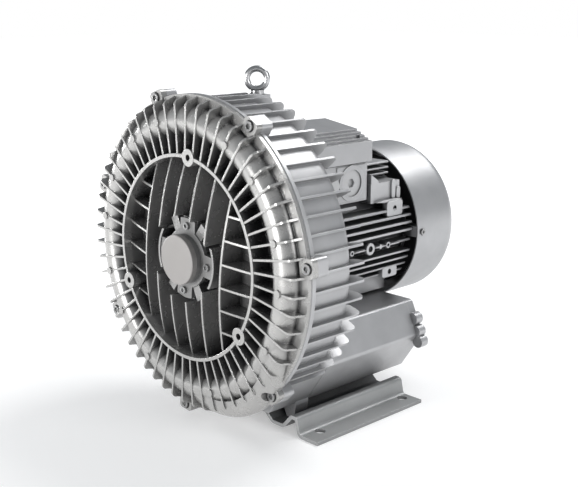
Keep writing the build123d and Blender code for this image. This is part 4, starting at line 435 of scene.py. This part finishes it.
def plate(name, side, centre, half, power, back, front, hole=0.0, chamfer=0.0006):
    """A raised pad facing sideways. Its outline about a centre (depth, height) is a superellipse, where
    |u/a| to the power plus |v/b| to the power is 1. Loops of it run from the back plane to the front plane,
    step in by the chamfer, and close over the middle or go down a blind round hole whose wall and floor are
    black, as painted shade."""
    turn = np.linspace(0.0, 2.0 * np.pi, PLATE_POINTS, endpoint=False)
    cosine, sine = np.cos(turn), np.sin(turn)

    def outline(inset):
        a, b = half[0] - inset, half[1] - inset
        reach = (np.abs(cosine / a) ** power + np.abs(sine / b) ** power) ** (-1.0 / power)
        return reach * cosine, reach * sine

    loops = [(outline(0.0), back), (outline(0.0), front - chamfer), (outline(chamfer), front)]
    if hole:
        lip = hole + chamfer
        loops += [((lip * cosine, lip * sine), front), ((hole * cosine, hole * sine), front - chamfer),
                  ((hole * cosine, hole * sine), front - HOLE_DEPTH)]
    points = np.vstack([
        np.column_stack([np.full(PLATE_POINTS, side * out), FRONT_Y + centre[0] + u, SHAFT_H + centre[1] + v])
        for (u, v), out in loops
    ])
    here = np.arange(PLATE_POINTS)
    after = np.roll(here, -1)
    last = (len(loops) - 1) * PLATE_POINTS
    rows = [low + np.column_stack([here, after, after + PLATE_POINTS, here + PLATE_POINTS])
            for low in range(0, last, PLATE_POINTS)]
    faces = np.vstack(rows).tolist() + [here[::-1].tolist(), (last + here).tolist()]
    piece = add_piece(name, points, facing(side, faces), frame_paint)
    if hole:
        # The hole's wall and floor are black, as painted shade.
        piece.data.materials.append(bore_shade)
        wall = last - PLATE_POINTS  # the hole's wall is the last row of faces, before the back and the floor
        for polygon in (*piece.data.polygons[wall:last], piece.data.polygons[last + 1]):
            polygon.material_index = 1
    return piece


def gusset(name, side, corners, inner, outer):
    """A sloped web with bevels: a polygon of (depth, height) corners drawn out between two planes."""
    count = len(corners)
    depths, heights = np.array(corners).T
    points = np.vstack([np.column_stack([np.full(count, side * x), FRONT_Y + depths, SHAFT_H + heights])
                        for x in (inner, outer)])
    here = np.arange(count)
    after = np.roll(here, -1)
    faces = [here[::-1].tolist(), (here + count).tolist()]
    faces += np.column_stack([here, after, after + count, here + count]).tolist()
    piece = add_piece(name, points, facing(side, faces), frame_paint)
    rounding = piece.modifiers.new("edges", "BEVEL")
    rounding.width = GUSSET_EDGE
    rounding.segments = 2
    return piece


# Bosses on the middle rib and the pieces of its crest between their holes, from front to back
RIB_H = -0.0117
RIB_BACK_X = 0.0905
BOSS_FRONT_X = 0.1068
CREST_FRONT_X = 0.1066
CREST_HALF_H = 0.0010
CREST_POWER = 12.0
CREST_CHAMFER = 0.0003
RIB_BOSSES = (  # depth, radius, outline power, hole radius
    (0.2153, 0.0040, 2.0, 0.0018),
    (0.2537, 0.0088, 2.0, 0.0043),
    (0.2755, 0.0038, 1.4, 0.0),
    (0.2920, 0.0046, 2.0, 0.0021),
)
RIB_CRESTS = ((0.2180, 0.2462), (0.2612, 0.2880), (0.2955, 0.3180))  # start and end depth
PADS = (  # name, centre, half size, outline power, back plane, front plane, hole radius, chamfer
    ("upper_pad", (0.3110, 0.0393), (0.0172, 0.0114), 8.0, 0.0920, 0.1012, 0.0039, 0.0006),
    ("lower_pad", (0.3090, -0.0567), (0.0160, 0.0080), 8.0, 0.0800, 0.0955, 0.0037, 0.0006),
    ("tall_lug", (0.3140, 0.0665), (0.0042, 0.0140), 4.0, 0.0910, 0.0955, 0.0, 0.0006),
    ("short_lug", (0.3248, 0.0605), (0.0042, 0.0085), 4.0, 0.0910, 0.0955, 0.0, 0.0006),
    ("ledge", (0.3010, 0.0515), (0.0270, 0.0017), 10.0, 0.0880, 0.1000, 0.0, 0.0004),
)
GUSSET_CORNERS = ((0.2685, 0.0770), (0.2845, 0.0770), (0.2845, 0.0815), (0.2685, 0.0925))
GUSSET_INNER_X = 0.0715
GUSSET_OUTER_X = 0.0922

for side, word in ((1, "right"), (-1, "left")):
    for index, (depth, radius, power, hole) in enumerate(RIB_BOSSES):
        plate(f"rib_boss_{index}_{word}", side, (depth, RIB_H), (radius, radius), power,
              RIB_BACK_X, BOSS_FRONT_X, hole)
    for index, (start, end) in enumerate(RIB_CRESTS):
        centre, half = ((start + end) / 2, RIB_H), ((end - start) / 2, CREST_HALF_H)
        plate(f"rib_crest_{index}_{word}", side, centre, half, CREST_POWER,
              RIB_BACK_X, CREST_FRONT_X, chamfer=CREST_CHAMFER)
    for name, *shape in PADS:
        plate(f"{name}_{word}", side, *shape)
    gusset(f"gusset_{word}", side, GUSSET_CORNERS, GUSSET_INNER_X, GUSSET_OUTER_X)


# Floor, lights and surroundings


FLOOR_REACH = 12.0
GLOW = (("From Min", 0.4), ("From Max", 2.2), ("To Min", 0.3), ("To Max", 0.95))  # by distance in metres
ROOM_STRENGTH = 0.33
LIGHTS = (  # name, place, diameter, watts
    ("key light", (-0.3, -2.95, 0.5), 0.8, 66.0),
    ("left light", (-3.0, -0.4, 0.55), 0.9, 56.0),
    ("side light", (2.6, 0.3, 1.1), 1.2, 22.0),
    ("top light", (0.2, 1.6, 2.4), 1.6, 44.0),
)


def set_floor():
    """A pale floor that glows more further off."""
    mesh = bpy.data.meshes.new("floor")
    corners = [(x * FLOOR_REACH, y * FLOOR_REACH, 0.0) for x, y in ((-1, -1), (1, -1), (1, 1), (-1, 1))]
    mesh.from_pydata(corners, [], [(0, 1, 2, 3)])
    floor = bpy.data.objects.new("floor", mesh)
    bpy.context.scene.collection.objects.link(floor)
    pale = bpy.data.materials.new("pale floor")
    pale.use_nodes = True
    tree = pale.node_tree
    shader = tree.nodes["Principled BSDF"]
    shader.inputs["Base Color"].default_value = (0.75, 0.75, 0.75, 1.0)
    shader.inputs["Roughness"].default_value = 0.9
    shader.inputs["Emission Color"].default_value = (1.0, 1.0, 1.0, 1.0)
    place = tree.nodes.new("ShaderNodeTexCoord")
    away = tree.nodes.new("ShaderNodeVectorMath")
    away.operation = "LENGTH"
    tree.links.new(place.outputs["Object"], away.inputs[0])
    glow = tree.nodes.new("ShaderNodeMapRange")
    for label, value in GLOW:
        glow.inputs[label].default_value = value
    tree.links.new(away.outputs["Value"], glow.inputs["Value"])
    tree.links.new(glow.outputs["Result"], shader.inputs["Emission Strength"])
    mesh.materials.append(pale)


def set_room():
    """A dim bluish room that is white where the camera sees it."""
    world = bpy.data.worlds.new("room")
    world.use_nodes = True
    tree = world.node_tree
    dim = tree.nodes["Background"]
    dim.inputs["Color"].default_value = (0.9, 0.95, 1.0, 1.0)
    dim.inputs["Strength"].default_value = ROOM_STRENGTH
    white = tree.nodes.new("ShaderNodeBackground")
    white.inputs["Color"].default_value = (1.0, 1.0, 1.0, 1.0)
    rays = tree.nodes.new("ShaderNodeLightPath")
    either = tree.nodes.new("ShaderNodeMixShader")
    tree.links.new(rays.outputs["Is Camera Ray"], either.inputs[0])
    tree.links.new(dim.outputs[0], either.inputs[1])
    tree.links.new(white.outputs[0], either.inputs[2])
    tree.links.new(either.outputs[0], tree.nodes["World Output"].inputs["Surface"])
    bpy.context.scene.world = world


def set_lights():
    """Soft round lights, each turned towards the middle of the machine."""
    centre = Vector((0.0, 0.0, SHAFT_H))
    for name, place, size, power in LIGHTS:
        data = bpy.data.lights.new(name, "AREA")
        data.shape = "DISK"
        data.size = size
        data.energy = power
        light = bpy.data.objects.new(name, data)
        light.location = place
        light.rotation_mode = "QUATERNION"
        light.rotation_quaternion = (centre - Vector(place)).to_track_quat("-Z", "Y")
        bpy.context.scene.collection.objects.link(light)


set_camera()
set_floor()
set_room()
set_lights()
bpy.context.scene.view_settings.view_transform = "Standard"
